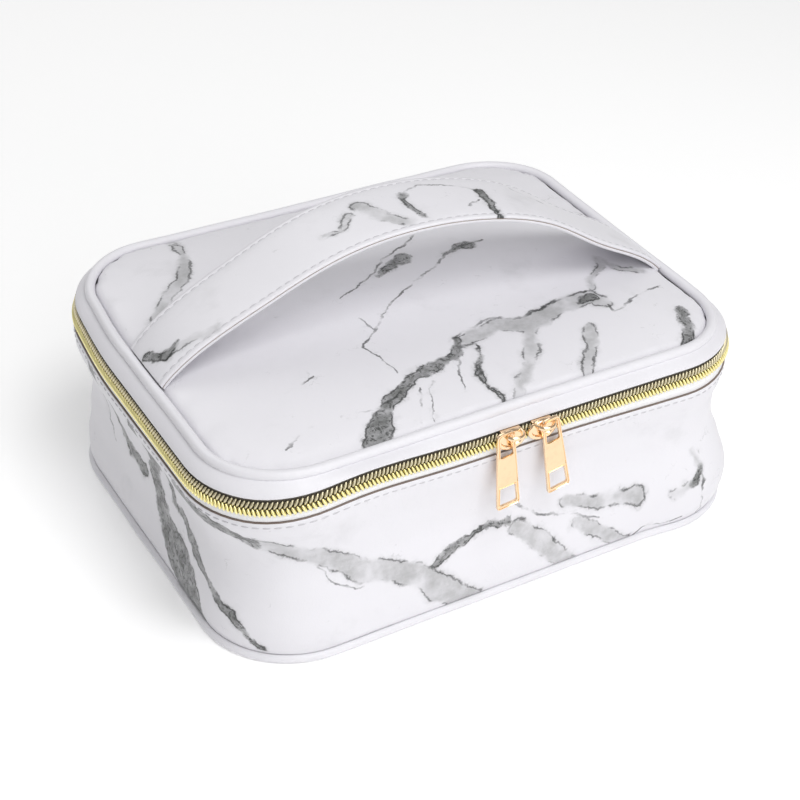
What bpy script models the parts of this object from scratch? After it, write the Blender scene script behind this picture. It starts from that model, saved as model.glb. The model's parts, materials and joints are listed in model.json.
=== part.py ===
"""Makeup train case: a soft, zipped, rounded box in marbled faux leather with a padded lid and a strap handle.

The origin is the centre of the underside, +X runs along the case's length, the front with the two zip
sliders faces -Y, and +Z is up. The numbers are millimetres, and mm() turns them into metres.
"""

from math import copysign, cos, pi, radians, sin

import bmesh
import bpy
from mathutils import Vector

# Driving dimensions of the case, in millimetres.
HALF_LENGTH = 130.0
HALF_DEPTH = 102.0
CORNER_RADIUS = 42.0
CORNER_STEPS = 6
TIGHTEST_RADIUS = 8.0
HINGE_HALF = 78.0  # half the length of the straight cloth hinge along the back
PARTING_Z = 87.4  # where the two rows of coil meet
GAP = 0.3  # left between neighbouring pieces

# Thicknesses of the layers, from the outside in.
SKIN = 1.4
WALL_FOAM = 3.5
LINING = 0.8
BOARD = 2.0
BASE_SKIN = 1.4

# Heights of the bands round the body and the lid.
WALL_FOOT_Z = 4.4
WALL_TOP_Z = 80.4
TAPE_FOOT_Z = 76.0
FOAM_TOP_Z = 75.4
LINING_TOP_Z = 84.0
COIL_HALF_HEIGHT = 3.4
COIL_OUT = 0.7
COIL_IN = -1.7
TAPE_OUT = -2.0
TAPE_THICKNESS = 0.8

# How far the outer wall stands from the widest outline at each height: pinched at the waist.
WALL_PROFILE = (
    (WALL_FOOT_Z, -0.9),
    (14.0, -1.0),
    (30.0, -3.2),
    (46.0, -4.4),
    (62.0, -3.0),
    (74.0, -0.6),
    (WALL_TOP_Z, 0.3),
)

# The lid.
PIPING_OFFSET = -8.0
PIPING_Z = 96.7
PIPING_RADIUS = 2.4
BASE_PIPING_OFFSET = -0.6
BASE_PIPING_Z = 2.2
BASE_PIPING_RADIUS = 1.8
PIPING_SIDES = 10
LID_EDGE_OFFSET = -10.7
LID_EDGE_Z = 95.0
LID_DOME = 3.0
LID_LINING_Z = 88.2
POCKET_HALF_LENGTH = 95.0
POCKET_FRONT_Y = -58.0
POCKET_BACK_Y = 78.0
POCKET_THICKNESS = 1.0
POCKET_CORNER = 12.0
BINDING_WIDTH = 7.0

# The handle: a wide two-layer strap, sewn in at both ends and standing up as an arch.
STRAP_HALF_SPAN = 118.0
STRAP_RISE = 48.0
STRAP_FOOT_Z = 97.0
STRAP_FULLNESS = 0.88  # under 1 fills the arch out towards its feet
STRAP_FRONT_Y = -24.5
STRAP_SKEW = -0.0875  # how far the strap runs towards the front for each unit of +X
STRAP_END_WIDTH = 33.0
STRAP_MIDDLE_WIDTH = 41.0
STRAP_LAYER = 1.5
STRAP_STATIONS = 25

# The zip sliders and their pull tabs.
SLIDER_HALF_LENGTH = 7.2
SLIDER_HALF_HEIGHT = 4.9
SLIDER_PLATE = 1.6
SLIDER_CENTRES = {"left": -5.65, "right": 9.65}
SLIDER_OUTWARD = {"left": -1.0, "right": 1.0}
BAIL_HALF_LENGTH = 4.0
BAIL_HEIGHT = 4.3
BAIL_WIRE = 0.9
BAIL_Z = 91.0
TAB_LEAN = {"left": 5.4, "right": 10.7}  # degrees, both feet towards +X
TAB_TOP = 2.7  # above the bail's leg, which passes through the tab's upper window
TAB_FOOT = -38.0
TAB_TOP_WIDTH = 8.6
TAB_FOOT_WIDTH = 11.4
TAB_THICKNESS = 1.4
TAB_SIDE_SHIFT = {"left": -0.4, "right": -1.4}
TAB_RIM = 1.5
TAB_HEM = 2.1
TAB_EYE_FOOT = -10.6
TAB_WINDOW_TOP = 11.5
TAB_WINDOW_TAPER = 0.3

# The elastic band inside, for brushes.
ELASTIC_HALF_LENGTH = 70.0
ELASTIC_LOW_Z = 38.0
ELASTIC_HIGH_Z = 60.0
ELASTIC_THICKNESS = 1.2

MATERIALS = {
    "marble_leather": ((0.82, 0.81, 0.84), 0.42, 0.0),
    "white_leather": ((0.84, 0.83, 0.86), 0.40, 0.0),
    "lining_cloth": ((0.42, 0.42, 0.44), 0.85, 0.0),
    "padding": ((0.75, 0.74, 0.70), 0.95, 0.0),
    "stiffener": ((0.35, 0.30, 0.25), 0.90, 0.0),
    "zip_tape": ((0.86, 0.85, 0.87), 0.80, 0.0),
    "dark_tape": ((0.12, 0.10, 0.07), 0.80, 0.0),
    "zip_coil": ((0.72, 0.62, 0.22), 0.30, 0.9),
    "rose_gold": ((0.90, 0.66, 0.42), 0.25, 1.0),
    "pocket_mesh": ((0.30, 0.30, 0.32), 0.90, 0.0),
    "elastic": ((0.18, 0.18, 0.19), 0.85, 0.0),
}


def mm(value):
    return value / 1000.0


def clear_scene():
    for old in list(bpy.data.objects):
        bpy.data.objects.remove(old, do_unlink=True)


def material(slot):
    """The named finish, made once."""
    found = bpy.data.materials.get(slot)
    if found:
        return found
    colour, roughness, metallic = MATERIALS[slot]
    made = bpy.data.materials.new(slot)
    made.use_nodes = True
    shader = made.node_tree.nodes["Principled BSDF"]
    shader.inputs["Base Color"].default_value = (*colour, 1.0)
    shader.inputs["Roughness"].default_value = roughness
    shader.inputs["Metallic"].default_value = metallic
    return made


def add_object(name, bm, slot, parent=None, origin=(0.0, 0.0, 0.0)):
    """Puts a finished bmesh, measured from its own origin in millimetres, into the scene."""
    bmesh.ops.scale(bm, vec=Vector((1, 1, 1)) / 1000.0, verts=bm.verts)
    bmesh.ops.recalc_face_normals(bm, faces=bm.faces)
    mesh = bpy.data.meshes.new(name)
    bm.to_mesh(mesh)
    bm.free()
    mesh.shade_smooth()
    mesh.set_sharp_from_angle(angle=radians(35))
    mesh.materials.append(material(slot))
    made = bpy.data.objects.new(name, mesh)
    bpy.context.scene.collection.objects.link(made)
    made.location = [mm(value) for value in origin]
    made.parent = parent
    return made


def grow(outlines, closed=False):
    """Extrudes the first outline through each of the next ones. A closed run comes back to its start."""
    bm = bmesh.new()
    start = bm.faces.new([bm.verts.new(point) for point in outlines[0]])
    tip = start
    for outline in outlines[1:] + (outlines[:1] if closed else []):
        last = tip
        grown = bmesh.ops.extrude_face_region(bm, geom=[last])["geom"]
        tip = next(part for part in grown if isinstance(part, bmesh.types.BMFace))
        if last is not start and last.is_valid:
            bmesh.ops.delete(bm, geom=[last], context="FACES_ONLY")
        for vertex, point in zip(tip.verts, outline):
            vertex.co = point
    if closed:
        bmesh.ops.delete(bm, geom=[start, tip], context="FACES_ONLY")
        bmesh.ops.remove_doubles(bm, verts=bm.verts, dist=1e-4)
    return bm


# The outline of the case, as stations with an outward direction.


def corner_stations(sign_x, sign_y, first_angle):
    """The stations round one corner, turning clockwise as seen from above."""
    centre = Vector((sign_x * (HALF_LENGTH - CORNER_RADIUS), sign_y * (HALF_DEPTH - CORNER_RADIUS)))
    stations = []
    for step in range(CORNER_STEPS + 1):
        angle = first_angle - (pi / 2) * step / CORNER_STEPS
        outward = Vector((cos(angle), sin(angle)))
        stations.append((centre + outward * CORNER_RADIUS, outward))
    return stations


def back_station(x):
    return Vector((x, HALF_DEPTH)), Vector((0.0, 1.0))


def front_run():
    """From one end of the cloth hinge round the front to its other end."""
    return (
        [back_station(HINGE_HALF + GAP / 2)]
        + corner_stations(1, 1, pi / 2)
        + corner_stations(1, -1, 0.0)
        + corner_stations(-1, -1, -pi / 2)
        + corner_stations(-1, 1, -pi)
        + [back_station(-HINGE_HALF - GAP / 2)]
    )


def hinge_run():
    return [back_station(-HINGE_HALF + GAP / 2), back_station(HINGE_HALF - GAP / 2)]


def whole_run():
    return front_run()[1:-1]


def swept(section, run, closed=False):
    """A section of (offset, height) points carried along a run of stations."""
    outlines = []
    for point, outward in run:
        outlines.append([(*(point + outward * offset), z) for offset, z in section])
    return grow(outlines, closed)


def level(offset, z):
    """The whole outline at one offset and height. Far in, its corners keep the tightest radius."""
    turned = max(offset, TIGHTEST_RADIUS - CORNER_RADIUS)
    outline = []
    for point, outward in whole_run():
        diagonal = Vector((copysign(1.0, point.x), copysign(1.0, point.y)))
        outline.append((*(point + outward * turned + diagonal * (offset - turned)), z))
    return outline


def wall_offset(z):
    """How far the outside of the wall stands from the widest outline at a height."""
    for (low_z, low), (high_z, high) in zip(WALL_PROFILE, WALL_PROFILE[1:]):
        if z <= high_z:
            return low + (high - low) * (z - low_z) / (high_z - low_z)
    return WALL_PROFILE[-1][1]


def layer_section(depth, thickness, foot_z, top_z):
    """A layer that follows the wall's waist, starting a depth inside its outer face."""
    heights = [foot_z] + [z for z, _ in WALL_PROFILE if foot_z < z < top_z] + [top_z]
    outer = [(wall_offset(z) - depth, z) for z in heights]
    inner = [(offset - thickness, z) for offset, z in reversed(outer)]
    return outer + inner


def round_section(offset, z, radius):
    steps = [2 * pi * step / PIPING_SIDES for step in range(PIPING_SIDES)]
    return [(offset + radius * cos(angle), z + radius * sin(angle)) for angle in steps]


# The body of the case.


def make_base():
    edge = BASE_PIPING_OFFSET - BASE_PIPING_RADIUS - GAP
    add_object("bottom_panel", grow([level(edge, 0.0), level(edge, BASE_SKIN)]), "marble_leather")
    board_z = BASE_SKIN + GAP
    board_edge = wall_offset(WALL_FOOT_Z) - SKIN - WALL_FOAM
    add_object("base_board", grow([level(board_edge, board_z), level(board_edge, board_z + BOARD)]), "stiffener")
    ring = round_section(BASE_PIPING_OFFSET, BASE_PIPING_Z, BASE_PIPING_RADIUS)
    add_object("bottom_piping", swept(ring, whole_run(), closed=True), "white_leather")


def make_walls():
    section = layer_section(0.0, SKIN, WALL_FOOT_Z, WALL_TOP_Z)
    add_object("front_side_wall", swept(section, front_run()), "marble_leather")
    add_object("back_panel", swept(section, hinge_run()), "marble_leather")
    foam = layer_section(SKIN + GAP, WALL_FOAM, WALL_FOOT_Z, FOAM_TOP_Z)
    add_object("body_foam", swept(foam, whole_run(), closed=True), "padding")


def make_body_lining():
    """One cloth tray: up its outside to the rim, over, and down its inside to the floor."""
    depth = SKIN + WALL_FOAM + 2 * GAP
    floor_z = BASE_SKIN + BOARD + 2 * GAP
    heights = [floor_z] + [z for z, _ in WALL_PROFILE[1:-1]] + [LINING_TOP_Z]
    outer = [level(wall_offset(z) - depth, z) for z in heights]
    heights[0] = floor_z + LINING
    inner = [level(wall_offset(z) - depth - LINING, z) for z in reversed(heights)]
    add_object("body_lining", grow(outer + inner), "lining_cloth")


def make_body_zip():
    tape = [
        (TAPE_OUT, TAPE_FOOT_Z),
        (TAPE_OUT, PARTING_Z - GAP),
        (TAPE_OUT - TAPE_THICKNESS, PARTING_Z - GAP),
        (TAPE_OUT - TAPE_THICKNESS, TAPE_FOOT_Z),
    ]
    add_object("lower_zip_tape", swept(tape, front_run()), "zip_tape")
    add_object("lower_zip_coil", swept(coil_section(-1), front_run()), "zip_coil")


def coil_section(side):
    """One row of coil, below the parting for side -1 and above it for side 1."""
    near = PARTING_Z + side * GAP / 2
    far = PARTING_Z + side * COIL_HALF_HEIGHT
    return [(COIL_IN, near), (COIL_OUT, near), (COIL_OUT, far), (COIL_IN, far)]


def make_hinge_strip():
    """The cloth hinge, cut at the parting into the half on the body and the half on the lid."""
    low = WALL_TOP_Z + GAP
    high = PARTING_Z - GAP / 2
    section = [(0.3, low), (0.3, high), (0.3 - SKIN, high), (0.3 - SKIN, low)]
    add_object("back_hinge_strip", swept(section, hinge_run()), "marble_leather")


# The lid.


def band_section():
    """The sloping strip between the zip and the lid's piping."""
    return [(-1.2, 91.9), (-5.6, 95.4), (-6.16, 94.7), (-1.76, 91.2)]


def make_lid_rim():
    add_object("upper_zip_coil", swept(coil_section(1), front_run()), "zip_coil")
    tape_low = PARTING_Z + GAP
    tape = [(-2.3, tape_low), (-2.3, 90.9), (-5.4, 93.4), (-5.8, 92.85), (-3.0, 90.6), (-3.0, tape_low)]
    add_object("upper_zip_tape", swept(tape, front_run()), "dark_tape")
    add_object("lid_band", swept(band_section(), front_run()), "white_leather")
    low = PARTING_Z + GAP / 2
    back_band = [(0.3, low), (0.3, 90.6), (-5.3, 95.2), (-6.0, 94.4), (0.3 - SKIN, 90.1), (0.3 - SKIN, low)]
    add_object("lid_back_band", swept(back_band, hinge_run()), "marble_leather")
    ring = round_section(PIPING_OFFSET, PIPING_Z, PIPING_RADIUS)
    add_object("lid_piping", swept(ring, whole_run(), closed=True), "white_leather")


def dome_z(offset):
    """How far the padded lid has risen at a distance in from its edge."""
    inwards = min(1.0, (LID_EDGE_OFFSET - offset) / 60.0)
    return LID_DOME * sin(inwards * pi / 2)


def make_lid_layers():
    steps = [LID_EDGE_OFFSET, -16.0, -26.0, -42.0, -70.0]
    under = [level(offset, LID_EDGE_Z + dome_z(offset)) for offset in reversed(steps)]
    over = [level(offset, LID_EDGE_Z + SKIN + dome_z(offset)) for offset in steps]
    add_object("lid_panel", grow(under + over), "marble_leather")
    foam_z = LID_LINING_Z + LINING + GAP
    foam_edge = LID_EDGE_OFFSET - GAP
    top = [level(offset - GAP, LID_EDGE_Z - GAP + dome_z(offset)) for offset in steps]
    add_object("lid_foam", grow([level(foam_edge, foam_z)] + top), "padding")
    lining_edge = TAPE_OUT - TAPE_THICKNESS - 2 * GAP - 0.4
    lining = [level(lining_edge, LID_LINING_Z), level(lining_edge, LID_LINING_Z + LINING)]
    add_object("lid_lining", grow(lining), "lining_cloth")


def make_lid_pocket():
    """A flat mesh slip pocket under the lid's lining, with a bound mouth towards the front."""
    top = LID_LINING_Z - GAP
    inner_x = POCKET_HALF_LENGTH - POCKET_CORNER
    corners = [
        (inner_x, POCKET_BACK_Y - POCKET_CORNER, 0.0),
        (-inner_x, POCKET_BACK_Y - POCKET_CORNER, pi / 2),
    ]
    flat = [(POCKET_HALF_LENGTH, POCKET_FRONT_Y)]
    for x, y, first in corners:
        for step in range(4):
            angle = first + (pi / 2) * step / 3
            flat.append((x + POCKET_CORNER * cos(angle), y + POCKET_CORNER * sin(angle)))
    flat.append((-POCKET_HALF_LENGTH, POCKET_FRONT_Y))
    outlines = [[(x, y, z) for x, y in flat] for z in (top - POCKET_THICKNESS, top)]
    add_object("lid_pocket_mesh", grow(outlines), "pocket_mesh")
    back_y = POCKET_FRONT_Y - GAP
    strip = [(-POCKET_HALF_LENGTH, back_y), (POCKET_HALF_LENGTH, back_y)]
    strip += [(x, back_y - BINDING_WIDTH) for x in (POCKET_HALF_LENGTH, -POCKET_HALF_LENGTH)]
    outlines = [[(x, y, z) for x, y in strip] for z in (top - 1.5 * POCKET_THICKNESS, top)]
    add_object("lid_pocket_binding", grow(outlines), "elastic")


def make_brush_elastic():
    """A flat elastic band on the inside of the back wall."""
    depth = SKIN + WALL_FOAM + LINING + 3 * GAP
    heights = [ELASTIC_LOW_Z, 46.0, ELASTIC_HIGH_Z]
    outer = [(wall_offset(z) - depth, z) for z in heights]
    inner = [(offset - ELASTIC_THICKNESS, z) for offset, z in reversed(outer)]
    run = [back_station(-ELASTIC_HALF_LENGTH), back_station(ELASTIC_HALF_LENGTH)]
    add_object("brush_elastic", swept(outer + inner, run), "elastic")


# The handle.


def strap_point(part):
    """A point on the strap's underside, and the direction out of it, at part -1 to 1 of its span."""
    x = STRAP_HALF_SPAN * part
    z = STRAP_FOOT_Z + STRAP_RISE * (1.0 - part * part) ** STRAP_FULLNESS
    slope = -2.0 * part * STRAP_RISE / STRAP_HALF_SPAN
    return x, z, Vector((-slope, 1.0)).normalized()


def strap_outline(part, depth):
    """The four corners across one layer of the strap, a depth above its underside."""
    x, z, up = strap_point(part)
    width = STRAP_END_WIDTH + (STRAP_MIDDLE_WIDTH - STRAP_END_WIDTH) * (1.0 - part * part)
    front = STRAP_FRONT_Y + STRAP_SKEW * x
    under = (x + up.x * depth, z + up.y * depth)
    over = (x + up.x * (depth + STRAP_LAYER), z + up.y * (depth + STRAP_LAYER))
    edges = ((under, front), (under, front + width), (over, front + width), (over, front))
    return [(at[0], y, at[1]) for at, y in edges]


def make_handle():
    parts = [sin(pi * (step / (STRAP_STATIONS - 1) - 0.5)) for step in range(STRAP_STATIONS)]
    for name, depth in (("handle_strap_underside", 0.0), ("handle_strap_top", STRAP_LAYER + GAP)):
        add_object(name, grow([strap_outline(part, depth) for part in parts]), "marble_leather")


# The zip sliders and their pull tabs.


def front_y(offset):
    return -HALF_DEPTH - offset


def make_bail(name, plate_y):
    """The wire loop on a slider's face, as a helper that a Boolean joins to the plate."""
    height = BAIL_HEIGHT
    half = BAIL_HALF_LENGTH
    path = [(-half, 0.8), (-half, -0.55 * height), (-0.72 * half, -0.9 * height), (0.0, -height)]
    path += [(-x, y) for x, y in reversed(path[:-1])]
    outlines = []
    for index, (x, y) in enumerate(path):
        before = Vector(path[max(0, index - 1)])
        after = Vector(path[min(len(path) - 1, index + 1)])
        side = (after - before).normalized()
        side = Vector((side.y, -side.x))
        ring = []
        for turn in range(8):
            angle = 2 * pi * turn / 8
            across = side * BAIL_WIRE * cos(angle)
            ring.append((x + across.x, plate_y + y + across.y, BAIL_Z + BAIL_WIRE * sin(angle)))
        outlines.append(ring)
    bail = add_object(name, grow(outlines), "rose_gold")
    bail.hide_render = True
    bail.display_type = "WIRE"
    return bail


def make_sliders():
    """Each slider is a face plate with a lip under the lower coil, and a wire bail."""
    plate_in = front_y(COIL_OUT + GAP)
    plate_out = plate_in - SLIDER_PLATE
    foot = PARTING_Z - SLIDER_HALF_HEIGHT
    lip_top = PARTING_Z - COIL_HALF_HEIGHT - GAP
    lip_in = front_y(TAPE_OUT + GAP)
    section = [
        (plate_out, foot),
        (plate_out, PARTING_Z + SLIDER_HALF_HEIGHT),
        (plate_in, PARTING_Z + SLIDER_HALF_HEIGHT),
        (plate_in, lip_top),
        (lip_in, lip_top),
        (lip_in, foot),
    ]
    for side, centre in SLIDER_CENTRES.items():
        ends = (-SLIDER_HALF_LENGTH, SLIDER_HALF_LENGTH)
        outlines = [[(x, y, z) for y, z in section] for x in ends]
        slider = add_object("slider_" + side, grow(outlines), "rose_gold", origin=(centre, 0.0, 0.0))
        bail = make_bail("bail_" + side, plate_out)
        bail.location = slider.location
        join = slider.modifiers.new("bail", "BOOLEAN")
        join.operation = "UNION"
        join.solver = "EXACT"
        join.object = bail


def window_cutter(name, half_low, half_high, low, high, shift):
    """A tapered block that cuts one window through a pull tab."""
    flat = [(-half_low, low), (half_low, low), (half_high, high), (-half_high, high)]
    outlines = [[(x + shift, y, z) for x, z in flat] for y in (-TAB_THICKNESS, TAB_THICKNESS)]
    cutter = add_object(name, grow(outlines), "rose_gold")
    cutter.hide_render = True
    cutter.display_type = "WIRE"
    return cutter


def make_pull_tabs():
    """Each tab hangs on the outer leg of its slider's bail, and its origin is on that leg."""
    layer_y = front_y(COIL_OUT + GAP) - SLIDER_PLATE - GAP - TAB_THICKNESS / 2
    for side, centre in SLIDER_CENTRES.items():
        outward = SLIDER_OUTWARD[side]
        shift = TAB_SIDE_SHIFT[side]
        top = TAB_TOP_WIDTH / 2
        foot = TAB_FOOT_WIDTH / 2
        flat = [(-foot + 1, TAB_FOOT), (foot - 1, TAB_FOOT), (foot, TAB_FOOT + 1), (top, TAB_TOP - 1.5)]
        flat += [(top - 1.5, TAB_TOP), (1.5 - top, TAB_TOP), (-top, TAB_TOP - 1.5), (-foot, TAB_FOOT + 1)]
        half = TAB_THICKNESS / 2
        outlines = [[(x + shift, y, z) for x, z in flat] for y in (-half, half)]
        leg_x = centre + outward * BAIL_HALF_LENGTH
        pivot = (leg_x, layer_y, BAIL_Z)
        tab = add_object("pull_tab_" + side, grow(outlines), "rose_gold", origin=pivot)
        eye_half = top - TAB_RIM
        eye = (eye_half + TAB_WINDOW_TAPER, eye_half, TAB_EYE_FOOT, TAB_TOP - TAB_RIM)
        foot_half = foot - TAB_RIM
        foot_window = (foot_half, foot_half - TAB_WINDOW_TAPER, TAB_FOOT + TAB_HEM, TAB_FOOT + TAB_WINDOW_TOP)
        windows = (
            window_cutter("eye_window_" + side, *eye, shift),
            window_cutter("foot_window_" + side, *foot_window, shift),
        )
        for window in windows:
            cut = tab.modifiers.new(window.name, "BOOLEAN")
            cut.operation = "DIFFERENCE"
            cut.solver = "EXACT"
            cut.object = window
            window.parent = tab
        tab.rotation_euler = (0.0, -radians(TAB_LEAN[side]), 0.0)


def main():
    clear_scene()
    make_base()
    make_walls()
    make_body_lining()
    make_body_zip()
    make_hinge_strip()
    make_brush_elastic()
    make_lid_rim()
    make_lid_layers()
    make_lid_pocket()
    make_handle()
    make_sliders()
    make_pull_tabs()


main()
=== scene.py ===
"""Makeup train case: a soft zipped box in marbled faux leather, with a padded lid and a strap handle.

The case's pieces are drawn in millimetres round its widest outline. +X runs along its length, the front
with the two zip sliders faces -Y, and +Z is up. finish_piece() turns the millimetres into metres.
"""

import json
from math import atan2, copysign, cos, exp, floor, hypot, pi, radians, sin

import bmesh
import bpy
from bpy.props import FloatProperty, FloatVectorProperty, PointerProperty
from mathutils import Matrix, Vector, noise


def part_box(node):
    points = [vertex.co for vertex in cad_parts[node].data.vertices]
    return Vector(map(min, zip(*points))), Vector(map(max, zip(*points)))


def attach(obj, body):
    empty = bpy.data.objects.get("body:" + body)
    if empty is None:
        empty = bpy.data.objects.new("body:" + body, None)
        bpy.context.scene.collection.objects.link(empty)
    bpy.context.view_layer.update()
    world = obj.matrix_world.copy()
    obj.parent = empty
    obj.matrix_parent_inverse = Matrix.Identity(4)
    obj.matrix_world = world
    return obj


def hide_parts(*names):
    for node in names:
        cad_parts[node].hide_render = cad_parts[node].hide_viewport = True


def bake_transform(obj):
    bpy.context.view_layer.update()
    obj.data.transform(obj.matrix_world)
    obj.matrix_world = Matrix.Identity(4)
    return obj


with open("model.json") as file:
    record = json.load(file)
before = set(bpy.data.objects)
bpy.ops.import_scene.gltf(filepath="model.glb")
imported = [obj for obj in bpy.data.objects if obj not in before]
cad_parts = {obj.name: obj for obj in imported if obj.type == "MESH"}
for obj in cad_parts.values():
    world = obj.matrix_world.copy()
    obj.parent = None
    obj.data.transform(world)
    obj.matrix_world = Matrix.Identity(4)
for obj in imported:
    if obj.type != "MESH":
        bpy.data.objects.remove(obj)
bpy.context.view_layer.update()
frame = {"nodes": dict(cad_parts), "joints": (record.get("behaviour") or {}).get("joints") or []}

bl_info = {
    "name": "Marbled Train Case",
    "version": (1, 0, 0),
    "blender": (4, 5, 0),
    "location": "3D View > Sidebar > Train Case",
    "description": "Builds the soft, zipped train case piece by piece round its packed frame",
    "category": "Add Mesh",
}

MM = 1000.0

# The widest outline of the case, found from the coil, which stands COIL_OUT outside it.
COIL_OUT = 0.7
COIL_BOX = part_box("lower_zip_coil")
HALF_LENGTH = COIL_BOX[1].x * MM - COIL_OUT
HALF_DEPTH = COIL_BOX[1].y * MM - COIL_OUT
CORNER_RADIUS = 42.0
STRAIGHT_X = HALF_LENGTH - CORNER_RADIUS
STRAIGHT_Y = HALF_DEPTH - CORNER_RADIUS
CORNER_ARC = CORNER_RADIUS * pi / 2
HINGE_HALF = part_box("back_panel")[1].x * MM
HINGE_GAP = 0.3
CORNER_STEPS = 14
STEP = 6.0  # between stations on a straight stretch
PARTING_Z = (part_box("upper_zip_coil")[0].z + COIL_BOX[1].z) * MM / 2

WALL_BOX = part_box("front_side_wall")
WALL_FOOT_Z = WALL_BOX[0].z * MM
WALL_TOP_Z = WALL_BOX[1].z * MM
PAD_THICKNESS = 5.2
SKIN = 1.4
# (height, how far the wall stands outside the widest outline)
WALL_PROFILE = (
    (WALL_FOOT_Z, -1.2),
    (8.0, -0.3),
    (16.0, -0.2),
    (30.0, -2.4),
    (46.0, -4.2),
    (62.0, -3.0),
    (74.0, -0.6),
    (WALL_TOP_Z, 0.3),
)

# How far the soft case has settled away from true, in millimetres.
LEAN_LEFT = 2.6
LEAN_RIGHT = 1.0
SINK_REAR = 1.2
SINK_RIGHT = 0.9
FOLD_RIGHT = 2.6
BULGE_RIGHT = 8.5
SPREAD_LEFT = 5.2
SPREAD_REAR = 2.4
DROOP_LEFT = 2.0
HUMP_RISE = 1.7
HUMP_FADE = 2.2

# The veins of the marbled print. Each row is (half width at its start, at its end, points in millimetres).
# On the lid and the handle the points are (x, y). Round the walls they are (distance round the case from
# the middle of the front, height).
LID_DARK = (
    (5.0, 2.6, ((-64, -93), (-55, -82), (-47, -73))),
    (2.6, 2.2, ((-47, -73), (-39, -69), (-30, -64), (-19, -60), (-6, -57), (1, -48))),
    (1.2, 3.2, ((34, 16), (42, 19), (48, 19))),
    (0.8, 3.6, ((-4, 15), (6, 19), (14, 22))),
    (0.6, 2.6, ((66, -46), (74, -43))),
    (2.6, 2.0, ((104, -71), (101, -82), (91, -96))),
    (1.2, 0.8, ((7, -54), (-3, -72), (-2, -92))),
)
LID_GREY = (
    (3.0, 6.0, ((0, -50), (22, -45), (36, -50))),
    (6.0, 4.0, ((36, -50), (52, -46), (74, -43), (76, -50))),
    (3.2, 2.2, ((36, -52), (28, -67), (18, -77), (5, -92))),
    (2.4, 2.2, ((59, -65), (52, -77), (37, -94))),
    (1.8, 2.4, ((78, -37), (81, -30), (94, -23), (96, -17))),
    (2.0, 1.6, ((97, -20), (101, -29), (110, -36))),
    (1.2, 2.6, ((-74, 96), (-74, 72), (-83, 54))),
    (2.6, 1.6, ((-83, 54), (-95, 42), (-118, 6))),
    (2.4, 3.4, ((20, 96), (44, 78), (60, 60), (92, 52))),
    (1.6, 2.8, ((60, 60), (70, 40), (112, 22))),
)
LID_LINES = (
    (0.4, 0.2, ((-39, -69), (-51, -74), (-69, -73))),
    (
        0.3,
        0.5,
        ((-34, -58), (-35, -43), (-39, -35), (-27, -23), (-11, -10), (10, 3), (24, 11), (42, 19), (55, 20)),
    ),
    (0.4, 0.2, ((-27, -23), (-30, -13))),
    (0.5, 0.3, ((32, 43), (24, 35), (8, 27), (-16, 10), (-28, 5))),
    (0.5, 0.4, ((0, -45), (22, -39), (36, -45), (52, -41), (74, -38))),
    (0.5, 0.4, ((76, -52), (76, -59), (93, -52), (107, -50))),
    (0.4, 0.2, ((-6, -59), (-11, -68), (-14, -78))),
    (0.3, 0.2, ((-24, -69), (-35, -89))),
    (0.3, 0.2, ((-31, -71), (-42, -89))),
    (0.4, 0.2, ((-82, -47), (-67, -42))),
    (0.4, 0.2, ((-96, -80), (-84, -74))),
)
WALL_DARK = (
    (3.4, 4.2, ((-164, 74), (-147, 73), (-134, 71), (-122, 67))),
    (2.2, 1.4, ((-38, 28), (-31, 32), (-22, 36), (-12, 39), (0, 38))),
    (4.6, 4.2, ((-210, 71), (-205, 66), (-199, 60))),
    (2.8, 6.5, ((-200, 62), (-208, 46), (-200, 32))),
    (6.5, 11.0, ((-200, 32), (-186, 22), (-174, 14))),
    (11.0, 8.0, ((-174, 14), (-160, 0))),
    (1.6, 2.6, ((-190, 62), (-190, 43), (-178, 42), (-162, 31))),
    (2.4, 1.4, ((-162, 31), (-150, 27), (-135, 21), (-120, 7))),
    (4.0, 1.6, ((-256, 74), (-251, 62))),
    (1.6, 3.0, ((-251, 62), (-247, 48), (-233, 43), (-220, 40))),
    (1.0, 2.2, ((102, 31), (98, 24))),
    (2.0, 3.2, ((168, 60), (176, 40), (168, 22))),
    (3.0, 5.0, ((476, 76), (496, 58), (506, 36), (524, 2))),
)
WALL_GREY = (
    (2.4, 5.0, ((-124, 68), (-110, 62), (-94, 55), (-72, 40))),
    (5.0, 7.5, ((-72, 40), (-46, 26), (-32, 13), (-21, 3))),
    (4.0, 5.0, ((4, 33), (17, 20), (32, 1))),
    (3.4, 4.0, ((35, 23), (48, 14), (61, 4))),
    (3.0, 4.0, ((28, 37), (68, 26))),
    (1.4, 2.0, ((100, 41), (102, 31), (98, 24), (87, 22))),
    (3.0, 6.0, ((150, 79), (168, 60), (196, 44), (214, 20), (220, 2))),
    (4.0, 7.0, ((318, 78), (346, 60), (370, 34), (382, 2))),
    (2.6, 4.4, ((346, 60), (392, 54), (430, 34), (472, 22))),
    (3.0, 5.0, ((-402, 78), (-372, 56), (-352, 40), (-322, 26), (-300, 2))),
)
WALL_LINES = (
    (0.5, 0.4, ((1, 46), (17, 35), (31, 29), (47, 23))),
    (0.4, 0.3, ((60, 0), (72, 8), (92, 6))),
    (0.3, 0.3, ((102, 4), (104, 40))),
    (0.4, 0.3, ((-261, 56), (-259, 42), (-251, 36))),
    (0.4, 0.2, ((-96, 51), (-88, 39), (-72, 31))),
)
STRAP_DARK = (
    (1.6, 1.0, ((0, 3), (0, -10), (1, -17))),
    (1.6, 0.8, ((39, -5), (34, -24), (33, -32))),
    (1.6, 1.0, ((-118, 2), (-113, -6), (-108, -4))),
)
STRAP_GREY = (
    (1.6, 1.2, ((-27, 1), (-36, -7), (-41, -5))),
    (3.4, 2.4, ((-19, 5), (-15, -9), (-8, -18))),
    (2.4, 1.6, ((-112, -5), (-106, -8), (-96, -14))),
)
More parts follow.
